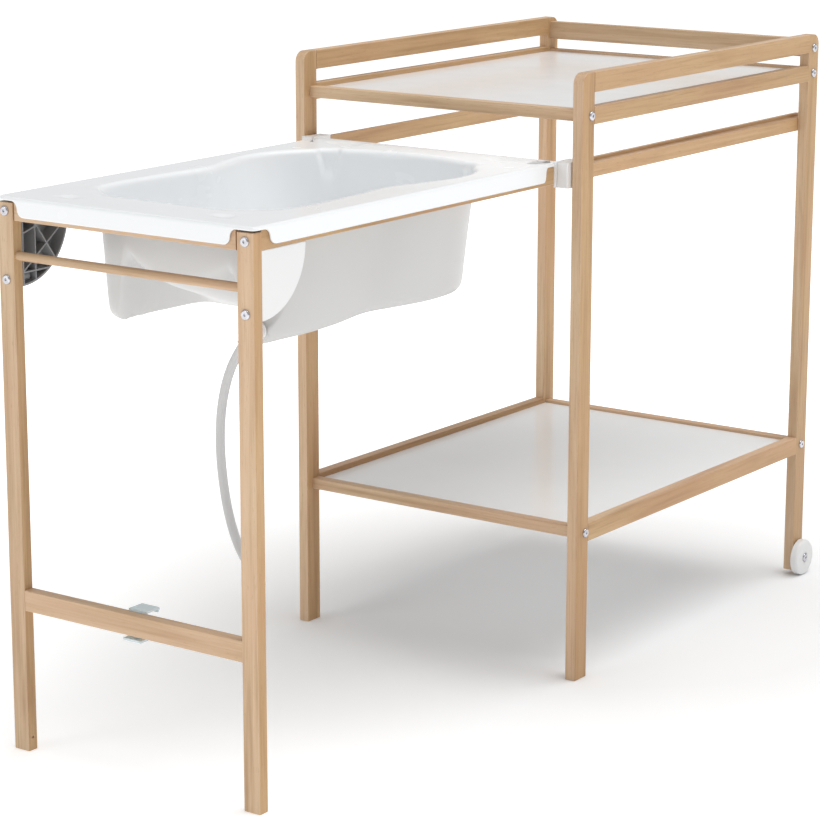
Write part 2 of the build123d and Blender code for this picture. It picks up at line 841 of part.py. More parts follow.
def bath_frame_pieces():
    """Everything that slides out and carries the bathtub."""
    right = {
        "right_bath_leg": bath_leg(),
        "right_bath_rail": bath_side_rail(),
        "right_gusset": gusset(),
        "right_gusset_cover": gusset_cover(),
        "right_carriage": carriage(),
    }
    pieces = right | {name.replace("right", "left"): mirrored(piece) for name, piece in right.items()}
    pieces |= bath_cross_pieces()
    pieces["towel_rod"] = towel_rod()
    pieces["bath_dowels"] = both(bath_dowels())
    upper = leg_bolt_start(leg_bolt_high)
    lower = leg_bolt_start(gusset_bolt_high)
    insert = (leg_middle, leg_back, gusset_bolt_high)
    away = (0, 1, 0)
    pieces["leg_bolts"] = both([bolt(upper, away, leg_bolt_long), bolt(lower, away, gusset_bolt_long)])
    upper_shank = rod(bolt_radius, upper, tip(upper, away, leg_bolt_long))
    lower_shank = rod(bolt_radius, lower, tip(insert, away, insert_long + cut_over))
    pieces["leg_barrel_nuts"] = both([rod(nut_radius, *leg_nut_ends()) - upper_shank])
    sleeve = rod(insert_radius, insert, tip(insert, away, insert_long)) - lower_shank
    pieces["gusset_inserts"] = both([sleeve])
    pieces["gusset_screws"] = both([screw(gusset_screw_start(), (0, 0, 1), gusset_screw_long)])
    screws = [screw(place, (1, 0, 0), carriage_screw_long) for place in carriage_screw_places()]
    pieces["carriage_screws"] = both(screws)
    return pieces


# Latch


def latch_screw_shank():
    """Shank of the screw that keeps the latch on the crossbar."""
    start = (0, crossbar_back + latch_run, latch_screw_high)
    return rod(screw_radius, start, tip(start, (0, -1, 0), latch_screw_long))


def latch():
    """Clip that lies in the crossbar's groove, lifts, and hooks the shelf's front rail."""
    half = latch_wide / 2
    plate_front = crossbar_back - latch_plate
    low = crossbar_base - latch_lift - latch_run - latch_foot
    hooked = crossbar_back + slide_stop_gap + cross_thick
    hook_front = hooked + latch_run + slide_stop_gap / 3
    hook_back = hook_front + latch_hook_thick
    arm_base = shelf_cross_base + cross_high + latch_run
    arm_top = arm_base + latch_arm_thick
    plate = block((-half, half), (plate_front, crossbar_back), (low, arm_top))
    foot = block((-half, half), (crossbar_back - latch_foot_front, crossbar_back), (low, low + latch_foot))
    arm = block((-half, half), (plate_front, hook_back), (arm_base, arm_top))
    hook_low = arm_base - latch_hook_drop
    hook_tip = hook_front + latch_hook_thick / 3
    ramp = [(hook_front, hook_low), (hook_tip, hook_low), (hook_back, arm_base), (hook_back, arm_top)]
    hook = slab_yz([(hook_front, arm_top), *ramp], -half, latch_wide)
    body = plate + foot + arm + hook
    slot_half = latch_slot_wide / 2
    slot_z = (latch_screw_high - latch_lift - slot_half, latch_screw_high + slot_half)
    slot = block((-slot_half, slot_half), (plate_front - cut_over, crossbar_back + cut_over), slot_z)
    return body - slot


def latch_screw():
    """Round-headed screw in the latch's slot."""
    start = (0, crossbar_back + latch_run, latch_screw_high)
    head = rod(screw_head_radius, start, tip(start, (0, 1, 0), latch_screw_head))
    return head + latch_screw_shank()


# Bathtub


def well_outline(shares, half, start, end, level):
    """Closed outline of the well at one level, smooth through its share points."""
    long = end - start
    right = [(half * across, start + long * along) for along, across in shares]
    left = [(-x, y) for x, y in reversed(right)]
    loop = [(0, start), *right, (0, end), *left]
    return make_face(Spline(*[(x, y, level) for x, y in loop], periodic=True))


def well_solid(inset):
    """Solid form of the well, drawn in by inset on every side."""
    top_half = well_half - inset
    floor = tub_floor + inset
    turn = well_round - inset
    low_half = floor_half - inset
    start = well_start + inset
    end = well_end - inset
    low_start = start + floor_front_in
    low_end = end - floor_back_in
    top_level = rim_top + cut_over if inset else rim_base
    top = well_outline(well_top_shares, top_half, start, end, top_level)
    low = well_outline(well_floor_shares, low_half, low_start, low_end, floor)
    body = loft([low, top])
    return fillet(body.faces().sort_by(Axis.Z)[0].edges(), turn)


def seat_section(y, middle_z, side_z, inset):
    """Cross-section of the hollow below the seat, at one place along the bathtub."""
    half = seat_half + inset
    low = tub_floor - well_round
    side = side_z + inset
    corners = [(-half, low), (-half, side), (0, middle_z + inset), (half, side), (half, low)]
    spots = [Vector(x, y, z) for x, z in corners]
    roof = ThreePointArc(spots[1], spots[2], spots[3])
    sides = [Line(spots[0], spots[1]), Line(spots[3], spots[4]), Line(spots[4], spots[0])]
    face = make_face([roof, *sides])
    return fillet(face.vertices().group_by(Axis.Z)[-1], seat_round + inset)


def seat_hollow(inset):
    """Space under the reclining seat, grown by inset."""
    start = well_start - cut_over
    front = seat_section(start, tub_floor + seat_middle_rise, tub_floor + seat_side_rise, inset)
    low = tub_floor - seat_end_drop
    end = seat_section(start + seat_long + inset, low - seat_end_drop, low, inset)
    return loft([front, end])


def dish(x, y, half, wide):
    """Shallow oval in the rim."""
    oval = Plane(origin=(x, y, rim_top - dish_deep)) * Ellipse(half, wide)
    return extrude(oval, dish_deep + cut_over)


def front_skirt():
    """Turned-down front edge, swept up in an S before each leg."""
    low = rim_base - skirt_drop
    top = rim_base + rim_thick / 2
    half_top = leg_in - skirt_front_gap
    half_low = half_top - skirt_front_slant
    half_end = half_top + skirt_margin
    right = [(half_low, low), (half_top, rim_base), (half_end, rim_base), (half_end, top)]
    points = [(-x, z) for x, z in reversed(right)] + right
    face = Polygon(*points, align=None)
    bends = [spot for spot in face.vertices() if abs(spot.X) < half_end - edge_ease]
    return extrude(Plane.XZ.offset(-rim_front) * fillet(bends, skirt_round), -skirt_thick)


def side_skirt():
    """Turned-down right edge, from an S behind the leg to the carriage."""
    low = rim_base - skirt_drop
    top = rim_base + rim_thick / 2
    start = leg_back + skirt_side_gap
    bend = start + skirt_side_slant
    end = table_front - skirt_side_end
    margin = start - skirt_margin
    points = [(margin, top), (margin, rim_base), (start, rim_base), (bend, low), (end, low), (end, top)]
    face = Polygon(*points, align=None)
    near = rim_base - edge_ease
    bends = [spot for spot in face.vertices() if abs(spot.X - start) < edge_ease or spot.Y < near]
    return extrude(Plane.YZ.offset(rim_out - skirt_thick) * fillet(bends, skirt_round), skirt_thick)


def skirt_plates():
    """Turned-down edges of the rim."""
    low = rim_base - skirt_drop
    back = block((-bath_rail_in, bath_rail_in), (rim_back - skirt_thick, rim_back), (low, rim_base))
    return [front_skirt(), back, *both([side_skirt()])]


def rim_plate():
    """Flat rim with rounded corners, narrower beside the carriages."""
    plate = block((-rim_out, rim_out), (rim_front, rim_back), (rim_base, rim_top))
    plate = fillet(plate.edges().filter_by(Axis.Z), rim_round)
    notch_in = bath_rail_out - skirt_gap
    notch_front = table_front - carriage_front - cut_over
    z_span = (rim_base - cut_over, rim_top + cut_over)
    notch = block((notch_in, rim_out + cut_over), (notch_front, rim_back + cut_over), z_span)
    plate = cut(plate, both([notch]))
    return fillet(plate.faces().sort_by(Axis.Z)[-1].edges(), rim_thick / 3)


def bathtub():
    """Moulded bathtub with its rim, skirt, well, seat hollow and drain hole."""
    body = rim_plate()
    for plate in skirt_plates():
        body = body + plate
    wall = (drain_x, drain_wall, drain_z)
    pad_end = tip(wall, (0, 1, 0), drain_pad_deep)
    body = body + well_solid(0) + rod(drain_flange_radius + drain_pad_margin, wall, pad_end)
    room = well_solid(well_wall) - seat_hollow(well_wall)
    pocket = rod(drain_ring_radius + drain_pocket_gap, tip(wall, (0, 1, 0), well_wall), pad_end)
    body = cut(body, [seat_hollow(0), room, pocket])
    back_y = rim_back - dish_back_y
    front_y = rim_front + dish_front_y
    dishes = [
        dish(dish_back_x, back_y, dish_back_half, dish_back_wide),
        dish(dish_front_x, front_y, dish_front_half, dish_front_wide),
    ]
    hole = rod(drain_hole, tip(wall, (0, -1, 0), cut_over), pad_end)
    return cut(body, [*both(dishes), hole])


# Drain and hose. The hose's bends are chosen by hand, from the drain outlet down to the end plug.
hose_bends = [
    (112.0, -665.5, 644.0),
    (88.0, -657.5, 610.0),
    (71.0, -651.0, 570.0),
    (60.5, -645.5, 527.0),
    (56.5, -641.0, 482.0),
    (59.0, -638.5, 437.0),
    (66.5, -638.0, 395.0),
    (79.0, -638.0, 357.0),
    (98.0, -639.0, 325.0),
    (123.5, -641.0, 300.0),
]


def unit(start, end):
    """Direction from one point to another."""
    return tuple((Vector(*end) - Vector(*start)).normalized())


def outlet_way():
    """Direction in which the drain outlet's collar points."""
    dip = math.radians(outlet_dip)
    turn = math.radians(outlet_turn)
    return (-math.cos(dip) * math.cos(turn), math.cos(dip) * math.sin(turn), -math.sin(dip))


def outlet_bend():
    """Middle of the drain elbow, where its bore turns down to the hose."""
    return (drain_x, drain_wall - drain_body_long / 2, drain_z)


def hose_route():
    """Points of the hose, from the end of the drain outlet."""
    return [tip(outlet_bend(), outlet_way(), outlet_long), *hose_bends]


def hose_radii(route):
    """Largest tangent arc that each corner of the route allows."""
    radii = []
    for before, corner, after in zip(route, route[1:], route[2:]):
        way_in = Vector(*corner) - Vector(*before)
        way_out = Vector(*after) - Vector(*corner)
        half_turn = math.radians(way_in.get_angle(way_out)) / 2
        radii.append(0.45 * min(way_in.length, way_out.length) / math.tan(half_turn))
    return radii


def drain_hose():
    """Outlet hose, hanging free from the drain."""
    route = hose_route()
    radii = hose_radii(route)
    path = FilletPolyline(*route, radius=radii)
    section = Plane(origin=route[0], z_dir=unit(route[0], route[1])) * Circle(hose_radius)
    hose = sweep(section, path=path)
    print("hose radii", [round(radius) for radius in radii], "length", round(path.length, 1))
    full = math.pi * hose_radius**2 * path.length
    print("hose volume share of section times length", round(hose.volume / full, 4))
    return hose


def drain_outlet():
    """Flanged elbow on the bathtub's front wall, with the collar that the hose meets."""
    wall = (drain_x, drain_wall, drain_z)
    away = (0, -1, 0)
    flange = rod(drain_flange_radius, wall, tip(wall, away, drain_flange_thick))
    body = rod(drain_body_radius, wall, tip(wall, away, drain_body_long))
    body = fillet(body.edges().sort_by(Axis.Y)[0], drain_body_radius / 3)
    neck = rod(drain_hole, wall, tip(wall, (0, 1, 0), well_wall + drain_ring_thick))
    collar = rod(collar_radius, outlet_bend(), hose_route()[0])
    return flange + body + neck + collar


def hose_clamp():
    """Band with a worm screw round the drain outlet."""
    start = hose_route()[0]
    back = unit(start, outlet_bend())
    near = tip(start, back, clamp_inset)
    far = tip(near, back, clamp_wide)
    middle = Plane(origin=tip(near, back, clamp_wide / 2), x_dir=(0, -1, 0), z_dir=back)
    out = collar_radius + clamp_thick + worm_radius / 2
    worm = middle * Pos(out, 0, 0) * Rot(90, 0, 0) * Cylinder(worm_radius, worm_long)
    band = rod(collar_radius + clamp_thick, near, far)
    return band + worm - rod(collar_radius, start, tip(far, back, clamp_inset))


def drain_pieces():
    """Drain, hose and what is on them."""
    wall = (drain_x, drain_wall, drain_z)
    inside = tip(wall, (0, 1, 0), well_wall)
    neck_end = tip(inside, (0, 1, 0), drain_ring_thick)
    neck = rod(drain_hole, wall, neck_end)
    ring = rod(drain_ring_radius, inside, neck_end) - neck
    socket_start = tip(wall, (0, -1, 0), plug_long)
    socket = rod(drain_bore + plug_run, socket_start, tip(neck_end, (0, 1, 0), cut_over))
    seat = tip(neck_end, (0, 1, 0), plug_run)
    stem = rod(drain_bore, tip(wall, (0, -1, 0), plug_long - plug_run), seat)
    head = rod(plug_head_radius, seat, tip(seat, (0, 1, 0), plug_head_thick))
    knob_start = tip(seat, (0, 1, 0), plug_head_thick)
    knob = rod(plug_knob_radius, knob_start, tip(knob_start, (0, 1, 0), plug_knob_high))
    last_way = unit(hose_bends[-2], hose_bends[-1])
    end = hose_bends[-1]
    end_plug = rod(end_plug_radius, end, tip(end, last_way, end_plug_long))
    end_plug = fillet(end_plug.edges().sort_by(Axis.Z)[0], end_plug_radius / 3)
    return {
        "drain_outlet": drain_outlet() - socket,
        "drain_ring": ring,
        "hose_clamp": hose_clamp(),
        "drain_plug": stem + head + knob,
        "drain_hose": drain_hose(),
        "hose_end_plug": end_plug,
    }


def one_shape(piece):
    """A node's solids as one exportable shape."""
    if isinstance(piece, list):
        return Compound(children=[solid for item in piece for solid in item.solids()])
    return piece


def main():
    """Build every node and write its STEP file."""
    os.makedirs("parts", exist_ok=True)
    pieces = table_pieces() | wheel_pieces() | bath_frame_pieces() | drain_pieces()
    pieces |= {"latch": latch(), "latch_screw": latch_screw(), "bathtub": bathtub()}
    for name, piece in pieces.items():
        export_step(one_shape(piece), f"parts/{name}.step")
    print(len(pieces), "nodes, travel", round(slide_travel, 1), "table front at Y", round(table_front, 2))


main()
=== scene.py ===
"""Looks of a changing table whose bathtub slides out on its own two legs.

Everything is in metres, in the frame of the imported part: +X is the user's right, +Y runs from the bath's
free end to the back of the table, +Z is up, and the origin is on the floor.
"""

import logging
import math
from dataclasses import dataclass
from enum import Enum
from functools import cached_property
from typing import Iterable, Sequence

import bmesh
import bpy
from mathutils import Euler, Matrix, Vector


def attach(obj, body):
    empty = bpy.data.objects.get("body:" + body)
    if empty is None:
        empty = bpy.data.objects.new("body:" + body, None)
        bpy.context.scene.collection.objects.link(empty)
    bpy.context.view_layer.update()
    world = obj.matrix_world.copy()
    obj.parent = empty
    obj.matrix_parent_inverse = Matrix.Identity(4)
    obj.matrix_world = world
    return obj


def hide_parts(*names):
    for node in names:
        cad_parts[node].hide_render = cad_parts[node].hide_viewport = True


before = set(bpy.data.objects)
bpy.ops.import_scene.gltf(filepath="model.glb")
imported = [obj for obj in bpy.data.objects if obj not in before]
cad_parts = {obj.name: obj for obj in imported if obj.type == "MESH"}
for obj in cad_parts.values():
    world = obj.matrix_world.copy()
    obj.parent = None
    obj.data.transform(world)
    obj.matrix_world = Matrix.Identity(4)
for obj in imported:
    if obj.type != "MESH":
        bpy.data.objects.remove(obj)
log = logging.getLogger("changing_table")

Colour = tuple[float, float, float]
Point = tuple[float, float, float]
Span = tuple[float, float]
Socket = bpy.types.NodeSocket
Material = bpy.types.Material
Paint = Socket | Colour

WHITE: Colour = (1.0, 1.0, 1.0)
BLACK: Colour = (0.0, 0.0, 0.0)
UNMOVED: Point = (0.0, 0.0, 0.0)
UNSCALED: Point = (1.0, 1.0, 1.0)

# The Mix node's colour sockets go by number, because its other types use the same names
MIX_FACTOR, MIX_FIRST, MIX_SECOND, MIX_RESULT = 0, 6, 7, 2

SIDES = ("right", "left")


def both(piece: str) -> tuple[str, ...]:
    """Names of a piece on the right and on the left."""
    return tuple(f"{side}_{piece}" for side in SIDES)


def held_share(value: float, low: float, high: float) -> float:
    """Share of the way from low to high, held between 0 and 1."""
    return min(max((value - low) / (high - low), 0.0), 1.0)


def smooth_step(value: float, low: float, high: float) -> float:
    """Rises from 0 at low to 1 at high without a corner.

    Args:
        value: Where to read the curve.
        low: Where the rise starts.
        high: Where it ends.

    Returns:
        A number from 0 to 1.
    """
    share = held_share(value, low, high)
    return share * share * (3.0 - 2.0 * share)


def mix(start: float, end: float, share: float) -> float:
    """Value at a share of the way from start to end."""
    return start + (end - start) * share


def steps(start: float, end: float, step: float) -> list[float]:
    """Even places from start towards end, without the end itself.

    Args:
        start: First place.
        end: Where they stop.
        step: About how far apart they are.

    Returns:
        The places.
    """
    count = max(1, round(abs(end - start) / step))
    return [mix(start, end, part / count) for part in range(count)]


def quarter_round(angles: Sequence[float]) -> list[Span]:
    """Points of a rounded corner of radius 1, as the distances to its two sides."""
    turns = [math.radians(angle) for angle in angles]
    return [(1 - math.sin(turn), 1 - math.cos(turn)) for turn in turns]


class Grain(Enum):
    """Direction in which a piece of wood was sawn."""

    ACROSS = "X"
    DEEP = "Y"
    UPRIGHT = "Z"


@dataclass(frozen=True)
class Pattern:
    """Noise in a surface: how fine, swirled and stretched it is, and where and how strongly it shows."""

    fineness: float
    detail: float
    swirl: float = 0.0
    band: Span = (0.0, 1.0)
    strength: float = 1.0
    stretch: float = 1.0


class Nodes:
    """Node tree of one material, with short calls that add and join nodes."""

    def __init__(self, name: str) -> None:
        """Starts a material with an empty tree.

        Args:
            name: Name of the material.
        """
        self.material = bpy.data.materials.new(name)
        self.material.use_nodes = True
        self.tree = self.material.node_tree
        self.tree.nodes.clear()
        self.output = self.add("ShaderNodeOutputMaterial")
        self.coordinates = self.add("ShaderNodeTexCoord")

    def add(self, kind: str, **settings: object) -> bpy.types.Node:
        """Adds a node and sets its properties.

        Args:
            kind: Blender's name for the node's type.
            **settings: Properties of the node.

        Returns:
            The new node.
        """
        node = self.tree.nodes.new(kind)
        for name, value in settings.items():
            setattr(node, name, value)
        return node

    def join(self, source: Socket, target: Socket) -> None:
        """Links an output to an input."""
        self.tree.links.new(source, target)

    def noise(self, pattern: Pattern, stretch: Point = UNSCALED, offset: Point = UNMOVED) -> Socket:
        """Draws a pattern in the piece's own coordinates.

        Args:
            pattern: The pattern.
            stretch: Scale along each axis.
            offset: Where it starts.

        Returns:
            The factor output.
        """
        place = self.add("ShaderNodeMapping")
        place.inputs["Scale"].default_value = stretch
        place.inputs["Location"].default_value = offset
        self.join(self.coordinates.outputs["Object"], place.inputs["Vector"])
        node = self.add("ShaderNodeTexNoise")
        node.inputs["Scale"].default_value = pattern.fineness
        node.inputs["Detail"].default_value = pattern.detail
        node.inputs["Distortion"].default_value = pattern.swirl
        self.join(place.outputs["Vector"], node.inputs["Vector"])
        return node.outputs["Fac"]

    def ramp(self, factor: Socket, places: Sequence[float], colours: Sequence[Colour]) -> Socket:
        """Colours looked up along a factor.

        Args:
            factor: Where to look.
            places: Where the colours stand.
            colours: The colours.

        Returns:
            The colour output.
        """
        node = self.add("ShaderNodeValToRGB")
        elements = node.color_ramp.elements
        while len(elements) < len(places):
            elements.new(0.5)
        for element, place, colour in zip(elements, places, colours):
            element.position = place
            element.color = (*colour, 1.0)
        self.join(factor, node.inputs["Fac"])
        return node.outputs["Color"]

    def span(self, value: Socket, source: Span, target: Span) -> Socket:
        """Value moved from one range to another, and held inside it.

        Args:
            value: The value.
            source: Its range.
            target: The wanted range.

        Returns:
            The result output.
        """
        node = self.add("ShaderNodeMapRange")
        for name, number in zip(("From Min", "From Max", "To Min", "To Max"), (*source, *target)):
            node.inputs[name].default_value = number
        self.join(value, node.inputs["Value"])
        return node.outputs["Result"]

    def blend(self, factor: Socket, first: Paint, second: Paint, way: str = "MIX") -> Socket:
        """Mixes two colours.

        Args:
            factor: Share of the second.
            first: Colour, or the output that gives it.
            second: The other one.
            way: Blending mode.

        Returns:
            The colour output.
        """
        node = self.add("ShaderNodeMix", data_type="RGBA", blend_type=way)
        self.join(factor, node.inputs[MIX_FACTOR])
        for socket, value in ((node.inputs[MIX_FIRST], first), (node.inputs[MIX_SECOND], second)):
            if isinstance(value, Socket):
                self.join(value, socket)
            else:
                socket.default_value = (*value, 1.0)
        return node.outputs[MIX_RESULT]

    def unsigned(self, value: Socket) -> Socket:
        """Value without its sign."""
        node = self.add("ShaderNodeMath", operation="ABSOLUTE")
        self.join(value, node.inputs[0])
        return node.outputs[0]

    def bump(self, height: Socket, distance: float, strength: float) -> Socket:
        """Turns a height into a surface normal.

        Args:
            height: The height pattern.
            distance: How deep it is, in metres.
            strength: Share of it that shows.

        Returns:
            The normal output.
        """
        node = self.add("ShaderNodeBump")
        node.inputs["Distance"].default_value = distance
        node.inputs["Strength"].default_value = strength
        self.join(height, node.inputs["Height"])
        return node.outputs["Normal"]

    def surface(self, **values: object) -> None:
        """Adds the Principled shader that the material ends in.

        Args:
            **values: Sockets by name, with underscores for spaces. An output is linked and a number is set.
        """
        shader = self.add("ShaderNodeBsdfPrincipled")
        for name, value in values.items():
            socket = shader.inputs[name.replace("_", " ")]
            if isinstance(value, Socket):
                self.join(value, socket)
            elif isinstance(value, tuple) and len(value) == 3 and socket.type == "RGBA":
                socket.default_value = (*value, 1.0)
            else:
                socket.default_value = value
        self.join(shader.outputs["BSDF"], self.output.inputs["Surface"])


@dataclass(frozen=True)
class Finish:
    """A finish, whose material is made once, when a piece first wants it."""

    name: str

    def draw(self, nodes: Nodes) -> None:
        """Adds the nodes of this finish, which each kind does in its own way."""
        raise NotImplementedError

    @cached_property
    def material(self) -> Material:
        """The material, shared by every piece with this finish.

        Returns:
            The material.
        """
        nodes = Nodes(self.name)
        self.draw(nodes)
        return nodes.material


@dataclass(frozen=True)
class BeechFinish(Finish):
    """Planed and clear-lacquered beech, with its grain along one axis."""

    grain: Grain
    offset: Point = UNMOVED
    tone: float = 1.0
    pale: Colour = (0.700, 0.518, 0.345)
    middle: Colour = (0.612, 0.428, 0.266)
    dark: Colour = (0.440, 0.278, 0.155)
    pink: Colour = (0.620, 0.382, 0.250)
    # Tint of the faces turned to ±X: partly flat-sawn tone, partly painted warm shade.
    flat_sawn_and_side_shade: Colour = (0.868, 0.780, 0.628)
    years: Pattern = Pattern(34.0, 4.0, 0.9, stretch=0.07)
    year_stops: Point = (0.28, 0.46, 0.66)
    streaks: Pattern = Pattern(210.0, 5.0, 0.3, (0.45, 0.70), 0.55, 0.018)
    veins: Pattern = Pattern(330.0, 3.0, 0.4, (0.53, 0.70), 0.50, 0.025)
    fibres: Pattern = Pattern(1500.0, 3.0, 0.0, (0.52, 0.75), 0.35, 0.012)
    patches: Pattern = Pattern(7.0, 2.0, 0.4, (0.40, 0.72), 0.55, 0.35)
    flecks: Pattern = Pattern(620.0, 2.0, 0.0, (0.63, 0.72), 0.40, 0.10)
    pores: Pattern = Pattern(900.0, 3.0, band=(0.35, 0.65))
    side_turn: Span = (0.70, 0.90)
    end_turn: Span = (0.80, 0.95)
    end_strength: float = 0.85
    dull_to_bright: Span = (0.49, 0.36)
    dull_band: Span = (0.3, 0.7)
    fleck_relief: Span = (0.60, 0.72)
    fleck_relief_share: float = 0.5
    relief_deep: float = 0.00012
    relief_share: float = 0.35
    lacquer: float = 0.06
    lacquer_roughness: float = 0.30
    specular: float = 0.25

    def drawn(self, nodes: Nodes, pattern: Pattern, offset: Point) -> Socket:
        """Draws one pattern, stretched along the grain.

        Args:
            nodes: The material's nodes.
            pattern: The pattern.
            offset: Where in the plank it starts.

        Returns:
            The pattern's factor.
        """
        stretch = tuple(pattern.stretch if axis is self.grain else 1.0 for axis in Grain)
        return nodes.noise(pattern, stretch, offset)

    def draw(self, nodes: Nodes) -> None:
        """Adds the nodes of this finish.

        Args:
            nodes: The material's nodes.
        """
        years, streaks, fibres, patches, flecks = (
            self.drawn(nodes, pattern, self.offset)
            for pattern in (self.years, self.streaks, self.fibres, self.patches, self.flecks)
        )
        veins = self.drawn(nodes, self.veins, self.offset[::-1])

        plank = nodes.ramp(years, self.year_stops, (self.dark, self.middle, self.pale))
        for factor, pattern, stain in (
            (streaks, self.streaks, self.pale), (veins, self.veins, self.dark),
            (fibres, self.fibres, self.dark), (patches, self.patches, self.pink),
            (flecks, self.flecks, self.dark),
        ):
            plank = nodes.blend(nodes.span(factor, pattern.band, (0.0, pattern.strength)), plank, stain)
        toned = nodes.add("ShaderNodeHueSaturation")
        toned.inputs["Value"].default_value = self.tone
        nodes.join(plank, toned.inputs["Color"])

        sunk = nodes.span(flecks, self.fleck_relief, (0.0, self.fleck_relief_share))
        nodes.surface(
            Base_Color=self.faces(nodes, toned.outputs["Color"]),
            Roughness=nodes.span(streaks, self.dull_band, self.dull_to_bright),
            Normal=nodes.bump(nodes.blend(sunk, fibres, BLACK), self.relief_deep, self.relief_share),
            Coat_Weight=self.lacquer,
            Coat_Roughness=self.lacquer_roughness,
            Specular_IOR_Level=self.specular,
        )

    def faces(self, nodes: Nodes, plank: Socket) -> Socket:
        """Warms and darkens the faces turned to the sides (±X), partly the tone of flat-sawn wood and partly
        painted warm shade, and darkens the ends, where the pores drink more lacquer.

        Args:
            nodes: The material's nodes.
            plank: Colour of the plank.

        Returns:
            Colour of the whole piece.
        """
        split = nodes.add("ShaderNodeSeparateXYZ")
        nodes.join(nodes.coordinates.outputs["Normal"], split.inputs["Vector"])
        side, end = (nodes.unsigned(split.outputs[axis.value]) for axis in (Grain.ACROSS, self.grain))
        # Faces turned to ±X are multiplied by a warm tint, partly flat-sawn tone and partly painted warm
        # shade on the side faces.
        on_side = nodes.span(side, self.side_turn, (0.0, 1.0))
        on_end = nodes.span(end, self.end_turn, (0.0, self.end_strength))
        pores = self.drawn(nodes, self.pores, self.offset)
        end_grain = nodes.ramp(pores, self.pores.band, (self.dark, self.middle))
        return nodes.blend(on_end, nodes.blend(on_side, plank, self.flat_sawn_and_side_shade, "MULTIPLY"), end_grain)


@dataclass(frozen=True)
class MouldedFinish(Finish):
    """Injection-moulded plastic with a fine skin texture and slow colour drift."""

    colour: Colour
    shade: Colour
    roughness: float
    texture: float = 900.0
    texture_detail: float = 1.0
    depth: float = 0.00004
    coat: float = 0.0
    glow: float = 0.0
    clearness: float = 0.0
    specular: float = 0.5
    drift: Pattern = Pattern(3.0, 1.0, band=(0.15, 0.85))
    handling: Pattern = Pattern(14.0, 2.0, band=(0.25, 0.75))
    handling_stretch: Point = (1.0, 1.0, 1.6)
    wear: float = 0.08
    skin_share: float = 0.3
    coat_roughness: float = 0.12
    glow_radius: Point = (0.006, 0.007, 0.008)
    refraction: float = 1.49

    def draw(self, nodes: Nodes) -> None:
        """Adds the nodes of this finish.

        Args:
            nodes: The material's nodes.
        """
        skin = nodes.noise(Pattern(self.texture, self.texture_detail))
        handling = nodes.noise(self.handling, self.handling_stretch)
        worn = (self.roughness * (1 - self.wear), self.roughness * (1 + self.wear))
        nodes.surface(
            Base_Color=nodes.ramp(nodes.noise(self.drift), self.drift.band, (self.shade, self.colour)),
            Roughness=nodes.span(handling, self.handling.band, worn),
            Normal=nodes.bump(skin, self.depth, self.skin_share),
            Coat_Weight=self.coat,
            Coat_Roughness=self.coat_roughness,
            Subsurface_Weight=self.glow,
            Subsurface_Radius=self.glow_radius,
            Subsurface_Scale=1.0,
            Transmission_Weight=self.clearness,
            IOR=self.refraction,
            Specular_IOR_Level=self.specular,
        )


@dataclass(frozen=True)
class MetalFinish(Finish):
    """Plated steel with fine turning marks and dull patches."""

    colour: Colour
    roughness: float
    marks: Pattern = Pattern(700.0, 4.0, band=(0.3, 0.7))
    mark_deep: float = 0.00003
    mark_share: float = 0.4
    smoothest: float = 0.75
    roughest: float = 1.3
    tarnish: Pattern = Pattern(120.0, 3.0, 0.5, (0.35, 0.60))
    tarnish_share: float = 0.80

    def draw(self, nodes: Nodes) -> None:
        """Adds the nodes of this finish.

        Args:
            nodes: The material's nodes.
        """
        turned = nodes.noise(self.marks)
        dull = tuple(part * self.tarnish_share for part in self.colour)
        turned_roughness = (self.roughness * self.smoothest, self.roughness * self.roughest)
        nodes.surface(
            Base_Color=nodes.ramp(nodes.noise(self.tarnish), self.tarnish.band, (dull, self.colour)),
            Metallic=1.0,
            Roughness=nodes.span(turned, self.marks.band, turned_roughness),
            Normal=nodes.bump(turned, self.mark_deep, self.mark_share),
        )


@dataclass(frozen=True)
class FloorFinish(Finish):
    """Matt white studio floor with painted light: it glows more the further it is from a spot under the
    table, so that near the table it stays darker as painted shadow.
    """

    name: str = "studio_floor"
    colour: Colour = (0.93, 0.935, 0.94)
    worn_share: float = 0.992
    grime: Pattern = Pattern(3.0, 2.0, band=(0.3, 0.7))
    roughness: float = 0.85
    specular: float = 0.2
    painted_shade_centre: Point = (0.14, 0.36, 0.0)
    painted_light_reach: Span = (0.42, 1.62)
    painted_light_rise: Span = (0.0, 0.60)

    def draw(self, nodes: Nodes) -> None:
        """Adds the nodes of this finish.

        Args:
            nodes: The material's nodes.
        """
        worn = tuple(part * self.worn_share for part in self.colour)
        away = nodes.add("ShaderNodeVectorMath", operation="DISTANCE")
        nodes.join(nodes.coordinates.outputs["Object"], away.inputs[0])
        away.inputs[1].default_value = self.painted_shade_centre
        nodes.surface(
            Base_Color=nodes.ramp(nodes.noise(self.grime), self.grime.band, (worn, self.colour)),
            Roughness=self.roughness,
            Specular_IOR_Level=self.specular,
            # Painted light: the floor's glow grows with distance from the spot under the table, which leaves
            # painted shadow round the table.
            Emission_Color=WHITE,
            Emission_Strength=nodes.span(away.outputs["Value"], self.painted_light_reach, self.painted_light_rise),
        )


def dress(node: str, finish: Finish) -> None:
    """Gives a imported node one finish, in every slot it has.

    Args:
        node: Name of the node.
        finish: What it is dressed in.
    """
    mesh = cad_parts[node].data
    if not mesh.materials:
        mesh.materials.append(finish.material)
    for index in range(len(mesh.materials)):
        mesh.materials[index] = finish.material
    log.info("dressed %s in %s", node, finish.name)


